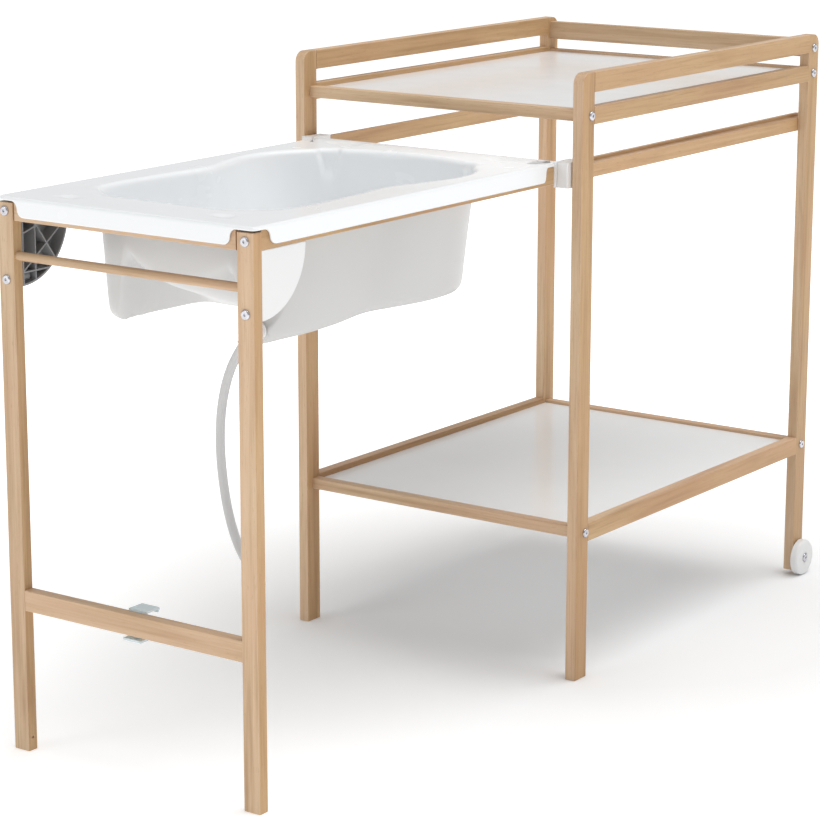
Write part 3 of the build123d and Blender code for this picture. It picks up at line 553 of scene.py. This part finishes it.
def publish(name: str, shape: bmesh.types.BMesh, finishes: Sequence[Finish]) -> bpy.types.Object:
    """Turns a finished bmesh into a smooth-shaded object at the origin.

    Args:
        name: Name of the piece.
        shape: Its bmesh, which is freed.
        finishes: Its finishes, in slot order.

    Returns:
        The object.
    """
    mesh = bpy.data.meshes.new(name)
    shape.to_mesh(mesh)
    shape.free()
    for finish in finishes:
        mesh.materials.append(finish.material)
    for polygon in mesh.polygons:
        polygon.use_smooth = True
    piece = bpy.data.objects.new(name, mesh)
    bpy.context.scene.collection.objects.link(piece)
    log.info("made %s with %d faces", name, len(mesh.polygons))
    return piece


def settle(piece: bpy.types.Object) -> None:
    """Applies a piece's modifiers, so that its mesh is final.

    Args:
        piece: The object.
    """
    evaluated = piece.evaluated_get(bpy.context.evaluated_depsgraph_get())
    mesh = bpy.data.meshes.new_from_object(evaluated)
    piece.modifiers.clear()
    piece.data = mesh


@dataclass
class TableFrame:
    """Side frames, cross rails, boards and fasteners of the table."""

    uprights: tuple[str, ...] = both("front_post") + both("back_post")
    deep_rails: tuple[str, ...] = (
        *both("top_rail"), *both("tray_rail"), *both("shelf_rail"), *both("slide_rail"),
    )
    cross_rails: tuple[str, ...] = (
        "front_tray_rail", "front_shelf_rail", "back_tray_rail", "back_shelf_rail", "back_top_rail",
    )
    boards: tuple[str, ...] = ("tray_board", "shelf_board")
    zinc_pieces: tuple[str, ...] = ("table_barrel_nuts", "slide_rail_screws", "wheel_washers", "wheel_nuts")
    upright_cut: int = 0
    deep_cut: int = 5
    cross_cut: int = 14
    dowel_cut: int = 20

    def build(self, finishes: "Finishes") -> None:
        """Dresses every piece of the table.

        Args:
            finishes: The shared finishes.
        """
        finishes.dress_in_beech(self.uprights, Grain.UPRIGHT, self.upright_cut)
        finishes.dress_in_beech(self.deep_rails, Grain.DEEP, self.deep_cut)
        finishes.dress_in_beech(self.cross_rails, Grain.ACROSS, self.cross_cut)
        for name in self.boards:
            dress(name, finishes.board)
        for name in both("slide_stop"):
            dress(name, finishes.white)
        finishes.dress_in_beech(("frame_dowels",), Grain.DEEP, self.dowel_cut)
        dress("table_bolts", finishes.bright)
        dress("wheel_axles", finishes.bright)
        for name in self.zinc_pieces:
            dress(name, finishes.zinc)


@dataclass
class Wheels:
    """The two wheels at the back posts' feet."""

    names: tuple[str, ...] = both("wheel")

    def build(self, finishes: "Finishes") -> None:
        """Dresses the wheels.

        Args:
            finishes: The shared finishes.
        """
        for name in self.names:
            dress(name, finishes.white)


@dataclass
class BathFrame:
    """Legs, rails, gussets, carriages and latch that carry the bathtub."""

    legs: tuple[str, ...] = both("bath_leg")
    rails: tuple[str, ...] = both("bath_rail")
    crossings: tuple[str, ...] = (
        "bath_front_rail", "bath_back_rail", "leg_crossbar", "towel_rod", "bath_dowels",
    )
    zinc_pieces: tuple[str, ...] = (
        "leg_barrel_nuts", "gusset_inserts", "gusset_screws", "carriage_screws", "latch_screw",
    )
    leg_cut: int = 22
    rail_cut: int = 25
    crossing_cut: int = 28

    def build(self, finishes: "Finishes") -> None:
        """Dresses every piece of the bath frame.

        Args:
            finishes: The shared finishes.
        """
        finishes.dress_in_beech(self.legs, Grain.UPRIGHT, self.leg_cut)
        finishes.dress_in_beech(self.rails, Grain.DEEP, self.rail_cut)
        finishes.dress_in_beech(self.crossings, Grain.ACROSS, self.crossing_cut)
        for piece, finish in (
            ("gusset", finishes.dark), ("gusset_cover", finishes.white), ("carriage", finishes.carriage)
        ):
            for name in both(piece):
                dress(name, finish)
        dress("latch", finishes.milky)
        dress("leg_bolts", finishes.bright)
        for name in self.zinc_pieces:
            dress(name, finishes.zinc)


class RimEdge:
    """The rim's lower edge, with the ways out of the well and into the rim at each of its points."""

    def __init__(self, spots: Sequence[Point], middle: float) -> None:
        """Finds both ways at every point.

        Args:
            spots: Points round the whole rim.
            middle: Middle of the well, which the rings are seen from.
        """
        self.spots = spots
        self.middle = middle
        self.angles = [math.atan2(y - middle, x) for x, y, _ in spots]
        self.outward = [Vector((math.cos(angle), math.sin(angle))) for angle in self.angles]
        plan = [Vector(spot).to_2d() for spot in spots]
        pairs = zip(plan[-1:] + plan, plan[1:] + plan[:1])
        along = [(after - before).normalized() for before, after in pairs]
        self.inward = [Vector((-way.y, way.x)) for way in along]

    def moved(self, amount: float, height: float) -> list[Point]:
        """A level ring under or over the edge, moved into the rim.

        Args:
            amount: How far.
            height: Height of the ring.

        Returns:
            Points of the ring.
        """
        ways = zip(self.spots, self.inward)
        return [(x + way.x * amount, y + way.y * amount, height) for (x, y, _), way in ways]

    def ring(self, reaches: Sequence[float], heights: Sequence[float]) -> list[Point]:
        """A ring at given distances from the well's middle.

        Args:
            reaches: Distance of each point.
            heights: Height of each point.

        Returns:
            Points of the ring.
        """
        return [(way.x * r, self.middle + way.y * r, z) for way, r, z in zip(self.outward, reaches, heights)]

    def flat(self, reaches: Sequence[float]) -> list[Point]:
        """A ring at height 0, at given distances from the well's middle."""
        return self.ring(reaches, [0.0] * len(reaches))


@dataclass
class Well:
    """Plan of the well, with one entry for each point of the rim's edge."""

    edge: RimEdge
    mouth_reaches: list[float]
    foot_reaches: list[float]
    lip_radii: list[float]
    foot_heights: list[float]


@dataclass
class Bathtub:
    """Moulded bathtub: a turned-down rim, a waisted well and a reclining seat, drawn as one sheet."""

    rim_out: float = 0.2436
    rim_front: float = -0.78825
    rim_back: float = -0.00815
    rim_top: float = 0.858
    lip_low: float = 0.8525
    skirt_low: float = 0.829
    corner: float = 0.008
    notch_out: float = 0.2396
    notch_start: float = -0.02775
    front_sweep: Span = (0.200, 0.0108)
    side_sweep: Span = (-0.7500, 0.0140)
    end_sweep: Span = (-0.05335, 0.005)
    edge_round: float = 0.0035
    thickness: float = 0.0033
    inset: float = 0.0035
    well_front: float = 0.120
    well_back: float = 0.072
    well_half: float = 0.205
    floor_half: float = 0.166
    floor_level: float = 0.6615
    floor_front_in: float = 0.006
    floor_back_in: float = 0.011
    floor_round: float = 0.021
    lip_round: float = 0.010
    seat_lip_round: float = 0.030
    groove: Span = (0.151, -0.094)
    groove_half: float = 0.023
    groove_low_half: float = 0.008
    groove_deep: float = 0.009
    groove_low: float = 0.806
    groove_fade_share: float = 0.35
    groove_flat_share: float = 0.55
    top_shares: tuple[Span, ...] = (
        (0.003, 0.60), (0.042, 0.83), (0.150, 0.893), (0.34, 0.868), (0.48, 0.83), (0.60, 0.925),
        (0.72, 0.995), (0.84, 0.93), (0.935, 0.71), (0.985, 0.40),
    )
    floor_shares: tuple[Span, ...] = (
        (0.003, 0.64), (0.032, 0.93), (0.120, 1.00), (0.29, 0.985), (0.46, 0.895), (0.60, 0.95),
        (0.73, 1.00), (0.86, 0.955), (0.945, 0.76), (0.988, 0.44),
    )
    seat_half: float = 0.112
    seat_blend: float = 0.013
    seat_front: float = -0.670
    seat_end: float = -0.441
    seat_middle: float = 0.7375
    seat_side: float = 0.7875
    seat_sink: float = 0.004
    seat_soft: float = 0.006
    seat_lip_run: float = 0.06
    seat_lip_side: Span = (0.10, 0.16)
    dish_deep: float = 0.0035
    dish_edge_shares: Span = (0.72, 1.05)
    back_dish: tuple[float, float, float, float] = (0.164, -0.047, 0.034, 0.018)
    front_dish: tuple[float, float, float, float] = (0.146, -0.734, 0.017, 0.010)
    drain: Point = (0.148, -0.65875, 0.682)
    pad_flat: float = 0.0175
    pad_end: float = 0.030
    pad_behind: float = 0.045
    bend_angles: tuple[float, ...] = (0, 30, 60)
    sweep_angles: tuple[float, ...] = (0, 20, 40, 60, 78)
    lip_angles: tuple[float, ...] = (30, 60, 90)
    foot_angles: tuple[float, ...] = (22.5, 45, 67.5, 90)
    edge_step: float = 0.0155
    front_step: float = 0.009
    side_step: float = 0.008
    end_step: float = 0.006
    notch_step: float = 0.005
    notch_ease: float = 0.0012
    rear_step: float = 0.004
    rear_fine: float = 0.160
    skirt_ring_shares: tuple[float, ...] = (0.10, 0.5, 0.9)
    bevel_share: float = 0.29
    deck_start_share: float = 2.2
    deck_count: int = 8
    wall_count: int = 12
    wall_crowding: float = 1.35
    floor_count: int = 14
    floor_closed_share: float = 0.94
    outline_parts: int = 12

    @property
    def centre_y(self) -> float:
        """Middle of the well, which every ring is seen from."""
        return (self.rim_front + self.well_front + self.rim_back - self.well_back) / 2

    def outline(self, shares: Sequence[Span], half: float, front: float, back: float) -> list[Vector]:
        """Smooth closed outline through share points, as a fine polygon.

        Args:
            shares: Along and across shares of the right half, from front to back.
            half: Half width that the across shares are of.
            front: Where the outline starts.
            back: Where it ends.

        Returns:
            Points of the outline.
        """
        right = [Vector((half * across, mix(front, back, along))) for along, across in shares]
        left = [Vector((-spot.x, spot.y)) for spot in reversed(right)]
        loop = [Vector((0.0, front)), *right, Vector((0.0, back)), *left]
        count = len(loop)
        fine = []
        for index in range(count):
            before, start, end, after = (loop[(index + step) % count] for step in (-1, 0, 1, 2))
            bend = 2 * before - 5 * start + 4 * end - after
            twist = 3 * start - before - 3 * end + after
            for part in range(self.outline_parts):
                t = part / self.outline_parts
                fine.append((2 * start + (end - before) * t + bend * t**2 + twist * t**3) / 2)
        return fine

    def reach(self, outline: Sequence[Vector], angle: float) -> float:
        """Distance from the middle of the well to an outline.

        Args:
            outline: Points of the outline.
            angle: Direction that is looked in.

        Returns:
            The distance.
        """
        way = Vector((math.cos(angle), math.sin(angle)))
        middle = Vector((0.0, self.centre_y))
        for start, end in zip(outline, [*outline[1:], outline[0]]):
            a, b = start - middle, end - middle
            side_a, side_b = way.cross(a), way.cross(b)
            if side_a * side_b <= 0 and a.dot(way) + b.dot(way) > 0 and side_a != side_b:
                share = side_a / (side_a - side_b)
                return (a + (b - a) * share).dot(way)
        raise ValueError("the outline isn't closed")

    def sweep(self, middle: float, wide: float) -> list[Span]:
        """S-curve in which the skirt's lower edge rises to the rim's lip.

        Args:
            middle: Place of its steep middle.
            wide: Half of its width.

        Returns:
            Places and heights, from the skirt to the lip.
        """
        half = (self.lip_low - self.skirt_low) / 2
        bow = [(wide * along, half * rise) for along, rise in quarter_round(self.sweep_angles)]
        low = [(middle - along, self.skirt_low + rise) for along, rise in bow]
        high = [(middle + along, self.lip_low - rise) for along, rise in bow]
        return low + high[::-1]

    def stations(self) -> list[Point]:
        """Points of the rim's lower edge, close together where it sweeps up and at the corners.

        Returns:
            Points of the whole rim, from the front's middle round the right side.
        """
        front, back, out, inner = self.rim_front, self.rim_back, self.rim_out, self.notch_out
        low, lip, corner = self.skirt_low, self.lip_low, self.corner
        rise, end = self.sweep(*self.front_sweep), self.sweep(*self.end_sweep)
        bend = [(corner * near, corner * far) for near, far in quarter_round(self.bend_angles)]
        fall = [(2 * self.side_sweep[0] - y, z) for y, z in reversed(self.sweep(*self.side_sweep))]

        # Front and its corner
        right = [(x, front, low) for x in steps(0, rise[0][0], self.edge_step)]
        right += [(x, front, z) for x, z in rise]
        right += [(x, front, lip) for x in steps(rise[-1][0], out - corner, self.front_step)[1:]]
        right += [(out - beside, front + behind, lip) for beside, behind in bend]

        # Right side
        right += [(out, y, lip) for y in steps(front + corner, fall[0][0], self.side_step)]
        right += [(out, y, z) for y, z in fall]
        right += [(out, y, low) for y in steps(fall[-1][0], end[0][0], self.edge_step)[1:]]
        right += [(out, y, z) for y, z in end]
        right += [(out, y, lip) for y in steps(end[-1][0], self.notch_start, self.end_step)[1:]]

        # Notch beside the carriage, and the back with its corner
        notch, ease = self.notch_start, self.notch_ease
        right += [(out, notch, lip), ((out + inner) / 2, notch + ease, lip)]
        right += [(inner, y, lip) for y in steps(notch + 2 * ease, back - corner, self.notch_step)]
        right += [(inner - beside, back - before, lip) for before, beside in bend]
        right += [(x, back, lip) for x in steps(inner - corner, self.rear_fine, self.rear_step)]
        right += [(x, back, lip) for x in steps(self.rear_fine, 0, self.edge_step)]
        return [*right, (0.0, back, lip), *((-x, y, z) for x, y, z in reversed(right[1:]))]

    def floor_height(self, x: float, y: float) -> float:
        """Height of the bottom's inner face, with the reclining seat at the front end.

        Args:
            x: Place in the well.
            y: Place in the well.

        Returns:
            The height.
        """
        back = held_share(y, self.seat_front, self.seat_end)
        foot = self.floor_level - self.seat_sink
        middle, side = mix(self.seat_middle, foot, back), mix(self.seat_side, foot, back)
        cradle = mix(middle, side, min(abs(x) / self.seat_half, 1.0) ** 2)
        lobes = smooth_step(abs(x), self.seat_half - self.seat_blend, self.seat_half + self.seat_blend)
        over = mix(cradle, self.floor_level, lobes) - self.floor_level
        soft = self.seat_soft
        return self.floor_level + (over + math.hypot(over, soft)) / 2 - soft / 2 * (1 - lobes)

    def deck_height(self, x: float, y: float) -> float:
        """Height of the rim's top, lower in the soap dishes.

        Args:
            x: Place on the rim.
            y: Place on the rim.

        Returns:
            The height.
        """
        height = self.rim_top
        for middle_x, middle_y, half, wide in (self.back_dish, self.front_dish):
            away = math.hypot((abs(x) - middle_x) / half, (y - middle_y) / wide)
            height -= self.dish_deep * (1 - smooth_step(away, *self.dish_edge_shares))
        return height

    def lip(self, x: float, y: float) -> float:
        """Radius of the well's edge, which is wide and soft over the seat.

        Args:
            x: Place on the edge.
            y: Place on the edge.

        Returns:
            The radius.
        """
        run = self.seat_lip_run
        near = smooth_step(self.rim_front + self.well_front + run - y, 0.0, run)
        inside = 1 - smooth_step(abs(x), *self.seat_lip_side)
        return mix(self.lip_round, self.seat_lip_round, near * inside)

    def groove_push(self, x: float, y: float, z: float) -> float:
        """How far a tapered groove in each rear corner pushes the wall outwards.

        Args:
            x: Place on the wall.
            y: Place on the wall.
            z: Height on the wall.

        Returns:
            The distance.
        """
        if y < self.centre_y:
            return 0.0
        rise = held_share(z, self.groove_low, self.rim_top)
        half = mix(self.groove_low_half, self.groove_half, rise)
        to_axis = Vector(self.groove) - Vector((0.0, self.centre_y))
        aside = abs(Vector((abs(x), y - self.centre_y)).cross(to_axis.normalized()))
        inside = 1 - smooth_step(aside, half * self.groove_flat_share, half)
        return self.groove_deep * smooth_step(rise, 0.0, self.groove_fade_share) * inside

    def rim_rings(self, edge: RimEdge) -> list[list[Point]]:
        """Rings of the skirt and of the rim's rounded outer edge.

        Args:
            edge: The rim's lower edge.

        Returns:
            The rings, of which the last lies on the flat of the rim.
        """
        shoulder = self.rim_top - self.edge_round
        rings = [list(edge.spots)]
        for share in self.skirt_ring_shares:
            rings.append([(x, y, mix(z, shoulder, share)) for x, y, z in edge.spots])
        bevel = self.bevel_share
        for inwards, drop in ((0.0, 1.0), (bevel, bevel), (1.0, 0.0), (self.deck_start_share, 0.0)):
            rings.append(edge.moved(self.edge_round * inwards, self.rim_top - self.edge_round * drop))
        return rings

    def deck_rings(self, well: Well, start: Sequence[Point]) -> list[list[Point]]:
        """Rings across the flat of the rim and over the well's rounded lip.

        Args:
            well: Plan of the well.
            start: The ring where the flat begins.

        Returns:
            The rings.
        """
        mouth = well.edge.flat(well.mouth_reaches)
        pushes = [self.groove_push(x, y, self.rim_top) for x, y, _ in mouth]
        reaches = [reach + push for reach, push in zip(well.mouth_reaches, pushes)]
        brink = well.edge.flat([reach + radius for reach, radius in zip(reaches, well.lip_radii)])
        rings = []
        for part in range(1, self.deck_count + 1):
            share = part / self.deck_count
            across = [mix(near[0], far[0], share) for near, far in zip(start, brink)]
            along = [mix(near[1], far[1], share) for near, far in zip(start, brink)]
            rings.append([(x, y, self.deck_height(x, y)) for x, y in zip(across, along)])
        for out, drop in quarter_round(self.lip_angles):
            outs = [reach + radius * out for reach, radius in zip(reaches, well.lip_radii)]
            heights = [self.rim_top - radius * drop for radius in well.lip_radii]
            rings.append(well.edge.ring(outs, heights))
        return rings

    def wall_rings(self, well: Well) -> list[list[Point]]:
        """Rings down the well's wall, closer together near its top.

        Args:
            well: Plan of the well.

        Returns:
            The rings.
        """
        mouth = well.edge.flat(well.mouth_reaches)
        plans = list(zip(mouth, well.mouth_reaches, well.foot_reaches, well.lip_radii, well.foot_heights))
        rings = []
        for part in range(1, self.wall_count + 1):
            share = (part / self.wall_count) ** self.wall_crowding
            reaches, heights = [], []
            for (x, y, _), mouth_reach, foot_reach, radius, foot_height in plans:
                top = self.rim_top - radius
                z = mix(top, foot_height + self.floor_round, share)
                reach = mix(mouth_reach, foot_reach, (top - z) / (top - self.floor_level))
                reaches.append(reach + self.groove_push(x, y, z))
                heights.append(z)
            rings.append(well.edge.ring(reaches, heights))
        return rings

    def bottom_rings(self, well: Well, wall_foot: Sequence[Point]) -> list[list[Point]]:
        """Rings that round the wall into the bottom and close in on its middle.

        Args:
            well: Plan of the well.
            wall_foot: The wall's last ring.

        Returns:
            The rings.
        """
        middle = self.centre_y
        reaches = [math.hypot(x, y - middle) for x, y, _ in wall_foot]
        rings = []
        for angle, (up, into) in zip(self.foot_angles, quarter_round(self.foot_angles)):
            spots = well.edge.flat([reach - self.floor_round * into for reach in reaches])
            rings.append([
                (x, y, mix(foot + self.floor_round * up, self.floor_height(x, y), angle / 90))
                for (x, y, _), foot in zip(spots, well.foot_heights)
            ])
        rim = rings[-1]
        for part in range(1, self.floor_count + 1):
            share = 1 - self.floor_closed_share * part / self.floor_count
            spots = [(x * share, mix(middle, y, share)) for x, y, _ in rim]
            rings.append([(x, y, self.floor_height(x, y)) for x, y in spots])
        return rings

    def rings(self) -> list[list[Point]]:
        """Every ring of the sheet, from the rim's lower edge to the middle of the bottom.

        Returns:
            Rings of points, all with the same number of points.
        """
        edge = RimEdge(self.stations(), self.centre_y)
        front = self.rim_front + self.well_front + self.inset
        back = self.rim_back - self.well_back - self.inset
        foot_front, foot_back = front + self.floor_front_in, back - self.floor_back_in
        mouth = self.outline(self.top_shares, self.well_half - self.inset, front, back)
        foot = self.outline(self.floor_shares, self.floor_half - self.inset, foot_front, foot_back)
        mouth_reaches = [self.reach(mouth, angle) for angle in edge.angles]
        foot_reaches = [self.reach(foot, angle) for angle in edge.angles]
        lip_radii = [self.lip(x, y) for x, y, _ in edge.flat(mouth_reaches)]
        foot_heights = [self.floor_height(x, y) for x, y, _ in edge.flat(foot_reaches)]
        well = Well(edge, mouth_reaches, foot_reaches, lip_radii, foot_heights)
        rings = self.rim_rings(edge)
        rings += self.deck_rings(well, rings[-1])
        rings += self.wall_rings(well)
        rings += self.bottom_rings(well, rings[-1])
        return rings

    def sheet(self) -> bmesh.types.BMesh:
        """Extrudes the rim's edge ring by ring down into the well.

        Returns:
            The bmesh of the sheet, facing up and outwards.
        """
        shape = bmesh.new()
        rings = self.rings()
        first = [shape.verts.new(spot) for spot in rings[0]]
        edges = [shape.edges.new((first[i - 1], first[i])) for i in range(len(first))]
        loop = first
        for ring in rings[1:]:
            grown = bmesh.ops.extrude_edge_only(shape, edges=edges)["geom"]
            edges = [item for item in grown if isinstance(item, bmesh.types.BMEdge)]
            loop = self.follow(loop, grown)
            for vert, spot in zip(loop, ring):
                vert.co = spot
        bmesh.ops.contextual_create(shape, geom=loop)
        self.press_drain_pad(shape)
        bmesh.ops.recalc_face_normals(shape, faces=shape.faces)
        deck = max(shape.faces, key=lambda face: face.calc_center_median().z)
        if deck.normal.z < 0:
            bmesh.ops.reverse_faces(shape, faces=shape.faces)
        return shape

    def follow(self, loop: Sequence[bmesh.types.BMVert], grown: Iterable[object]) -> list[bmesh.types.BMVert]:
        """New vertices of an extruded ring, in the order of the ring they came from.

        Args:
            loop: Vertices of the ring before.
            grown: What the extrusion returned.

        Returns:
            The new vertices.
        """
        fresh = {item for item in grown if isinstance(item, bmesh.types.BMVert)}
        across = ((edge.other_vert(vert) for edge in vert.link_edges) for vert in loop)
        return [next(vert for vert in ends if vert in fresh) for ends in across]

    def press_drain_pad(self, shape: bmesh.types.BMesh) -> None:
        """Presses a flat round seat for the drain into the front of the right foot well.

        Args:
            shape: The sheet.
        """
        x, y, z = self.drain
        for vert in shape.verts:
            if vert.co.y > y + self.pad_behind or vert.co.z > z + self.pad_end:
                continue
            away = math.hypot(vert.co.x - x, vert.co.z - z)
            vert.co.y = mix(y, vert.co.y, smooth_step(away, self.pad_flat, self.pad_end))

    def build(self, finishes: "Finishes") -> bpy.types.Object:
        """Makes the bathtub and sets it on the bath frame.

        Args:
            finishes: The shared finishes.

        Returns:
            The bathtub.
        """
        piece = publish("bathtub_shell", self.sheet(), [finishes.tub, finishes.tub_under_painted_shade])
        refine = piece.modifiers.new("refine", "SUBSURF")
        refine.levels = refine.render_levels = 1
        refine.use_limit_surface = False
        wall = piece.modifiers.new("wall", "SOLIDIFY")
        wall.thickness = self.thickness
        wall.offset = -1.0
        # The underside takes the second finish: the same plastic, darker as painted shade.
        wall.material_offset = 1
        settle(piece)
        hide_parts("bathtub")
        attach(piece, "bathtub")
        return piece


@dataclass
class Drain:
    """Drain outlet on the bathtub, its hose and the plugs."""

    diameter: float = 0.014
    length: float = 0.4016
    along_parts: int = 12
    round_parts: int = 8
    start: Point = (0.12909, -0.67036, 0.66204)
    route: tuple[Point, ...] = (
        (0.112, -0.6655, 0.644), (0.088, -0.6575, 0.610), (0.071, -0.651, 0.570), (0.0605, -0.6455, 0.527),
        (0.0565, -0.641, 0.482), (0.059, -0.6385, 0.437), (0.0665, -0.638, 0.395), (0.079, -0.638, 0.357),
        (0.098, -0.639, 0.325), (0.1235, -0.641, 0.300),
    )

    def hose(self, finishes: "Finishes") -> bpy.types.Object:
        """Makes the hose as one smooth curve.

        Args:
            finishes: The shared finishes.

        Returns:
            The hose.
        """
        curve = bpy.data.curves.new("drain_hose_tube", "CURVE")
        curve.dimensions = "3D"
        spline = curve.splines.new("NURBS")
        points = (self.start, *self.route)
        spline.points.add(len(points) - 1)
        for point, spot in zip(spline.points, points):
            point.co = (*spot, 1.0)
        spline.order_u = 3
        spline.use_endpoint_u = True
        spline.resolution_u = self.along_parts
        curve.bevel_depth = self.diameter / 2
        curve.bevel_resolution = self.round_parts
        curve.use_fill_caps = True
        curve.materials.append(finishes.hose.material)
        piece = bpy.data.objects.new("drain_hose_tube", curve)
        bpy.context.scene.collection.objects.link(piece)
        log.info("made %s", piece.name)
        return piece

    def build(self, finishes: "Finishes") -> None:
        """Makes the hose and dresses the drain.

        Args:
            finishes: The shared finishes.
        """
        piece = self.hose(finishes)
        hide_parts("drain_hose")
        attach(piece, "bathtub")
        for name in ("drain_outlet", "drain_ring", "hose_end_plug"):
            dress(name, finishes.white)
        dress("drain_plug", finishes.rubber)
        dress("hose_clamp", finishes.zinc)


@dataclass(frozen=True)
class Finishes:
    """Finishes that several pieces share, and the planks that the beech is cut from."""

    tub: Finish = MouldedFinish(
        "tub_inside", (0.905, 0.922, 0.935), (0.895, 0.914, 0.928), 0.26,
        texture=500.0, depth=0.00001, coat=0.1, specular=0.36,
    )
    # Painted shade: the outside of the tub is the same white plastic as the inside, given a much darker grey
    # for the shade under the rim.
    tub_under_painted_shade: Finish = MouldedFinish(
        "tub_outside_painted_shade", (0.64, 0.64, 0.635), (0.63, 0.63, 0.625), 0.34, texture=700.0, depth=0.00002
    )
    white: Finish = MouldedFinish("moulded_white", (0.84, 0.84, 0.835), (0.80, 0.80, 0.80), 0.38, glow=0.05)
    carriage: Finish = MouldedFinish(
        "carriage_white", (0.92, 0.93, 0.94), (0.90, 0.91, 0.92), 0.32, glow=0.05
    )
    dark: Finish = MouldedFinish("moulded_charcoal", (0.31, 0.31, 0.315), (0.26, 0.26, 0.265), 0.42)
    milky: Finish = MouldedFinish(
        "milky_clip", (0.84, 0.95, 0.98), (0.80, 0.92, 0.96), 0.24, glow=0.2, clearness=0.30
    )
    hose: Finish = MouldedFinish("soft_hose", (0.56, 0.56, 0.56), (0.52, 0.52, 0.52), 0.36, glow=0.10)
    rubber: Finish = MouldedFinish("plug_rubber", (0.36, 0.36, 0.37), (0.31, 0.31, 0.32), 0.62)
    board: Finish = MouldedFinish(
        "foiled_board", (0.955, 0.968, 0.975), (0.94, 0.955, 0.965), 0.22,
        texture=220.0, depth=0.00003, coat=0.3,
    )
    bright: Finish = MetalFinish("bright_bolt", (0.62, 0.62, 0.66), 0.20)
    zinc: Finish = MetalFinish("zinc_plate", (0.60, 0.61, 0.63), 0.34)
    plank_step: Point = (1.37, 0.83, 2.11)
    tone_change: float = 0.05
    tone_turn: float = 2.4

    def dress_in_beech(self, names: Sequence[str], grain: Grain, cut: int) -> None:
        """Dresses a row of pieces in beech, each cut from the next place in the plank.

        Args:
            names: Names of the pieces.
            grain: Direction of their grain.
            cut: Which place in the plank the first is cut from.
        """
        for number, name in enumerate(names, cut):
            offset = tuple(number * step for step in self.plank_step)
            tone = 1.0 + self.tone_change * math.sin(number * self.tone_turn)
            dress(name, BeechFinish(f"beech_{name}", grain, offset, tone))


@dataclass(frozen=True)
class Lamp:
    """One soft square lamp."""

    name: str
    place: Point
    target: Point
    size: float
    power: float
    colour: Colour = WHITE

    def hang(self) -> None:
        """Hangs the lamp and turns it to its target."""
        data = bpy.data.lights.new(self.name, "AREA")
        data.shape = "SQUARE"
        data.size = self.size
        data.energy = self.power
        data.color = self.colour
        lamp = bpy.data.objects.new(self.name, data)
        lamp.location = self.place
        lamp.rotation_euler = (Vector(self.place) - Vector(self.target)).to_track_quat("Z", "Y").to_euler()
        bpy.context.scene.collection.objects.link(lamp)


@dataclass
class Studio:
    """Pale floor, soft lights and the camera."""

    camera_place: Point = (2.6513, -3.7690, 1.5061)
    azimuth: float = 35.72
    elevation: float = 13.30
    roll: float = 0.05
    lens: float = 124.09
    film_width: float = 36.0
    sight: float = 200.0
    floor_size: float = 60.0
    sky: float = 0.48
    key: Lamp = Lamp("key", (-2.7, -6.1, 2.9), (0.0, -0.1, 0.6), 2.6, 46.0, (1.0, 0.99, 0.97))
    top: Lamp = Lamp("top", (1.9, 1.3, 7.6), (0.0, 0.0, 0.4), 6.4, 382.0)

    def camera(self) -> None:
        """Sets the camera where the photograph was taken from."""
        data = bpy.data.cameras.new("camera")
        data.lens = self.lens
        data.sensor_width = self.film_width
        data.clip_end = self.sight
        camera = bpy.data.objects.new("camera", data)
        tilt, heading = math.radians(90 - self.elevation), math.radians(self.azimuth)
        turn = Euler((tilt, 0.0, heading), "XYZ").to_matrix()
        spin = Matrix.Rotation(math.radians(self.roll), 3, "Z")
        camera.matrix_world = Matrix.Translation(self.camera_place) @ (turn @ spin).to_4x4()
        bpy.context.scene.collection.objects.link(camera)
        bpy.context.scene.camera = camera

    def floor(self) -> None:
        """Lays the floor."""
        shape = bmesh.new()
        bmesh.ops.create_grid(shape, x_segments=2, y_segments=2, size=self.floor_size / 2)
        piece = publish("studio_floor", shape, [FloorFinish()])

    def build(self) -> None:
        """Sets the whole studio up."""
        self.camera()
        self.floor()
        world = bpy.data.worlds.new("studio")
        world.use_nodes = True
        sky = world.node_tree.nodes["Background"]
        sky.inputs["Color"].default_value = (*WHITE, 1.0)
        sky.inputs["Strength"].default_value = self.sky
        bpy.context.scene.world = world
        for lamp in (self.key, self.top):
            lamp.hang()
        bpy.context.scene.view_settings.view_transform = "Standard"


def main() -> None:
    """Builds every sub-assembly in order."""
    logging.basicConfig(level=logging.INFO, format="%(message)s")
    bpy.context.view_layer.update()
    Studio().build()
    finishes = Finishes()
    Drain().build(finishes)
    TableFrame().build(finishes)
    Wheels().build(finishes)
    BathFrame().build(finishes)
    Bathtub().build(finishes)


if __name__ == "__main__":
    main()
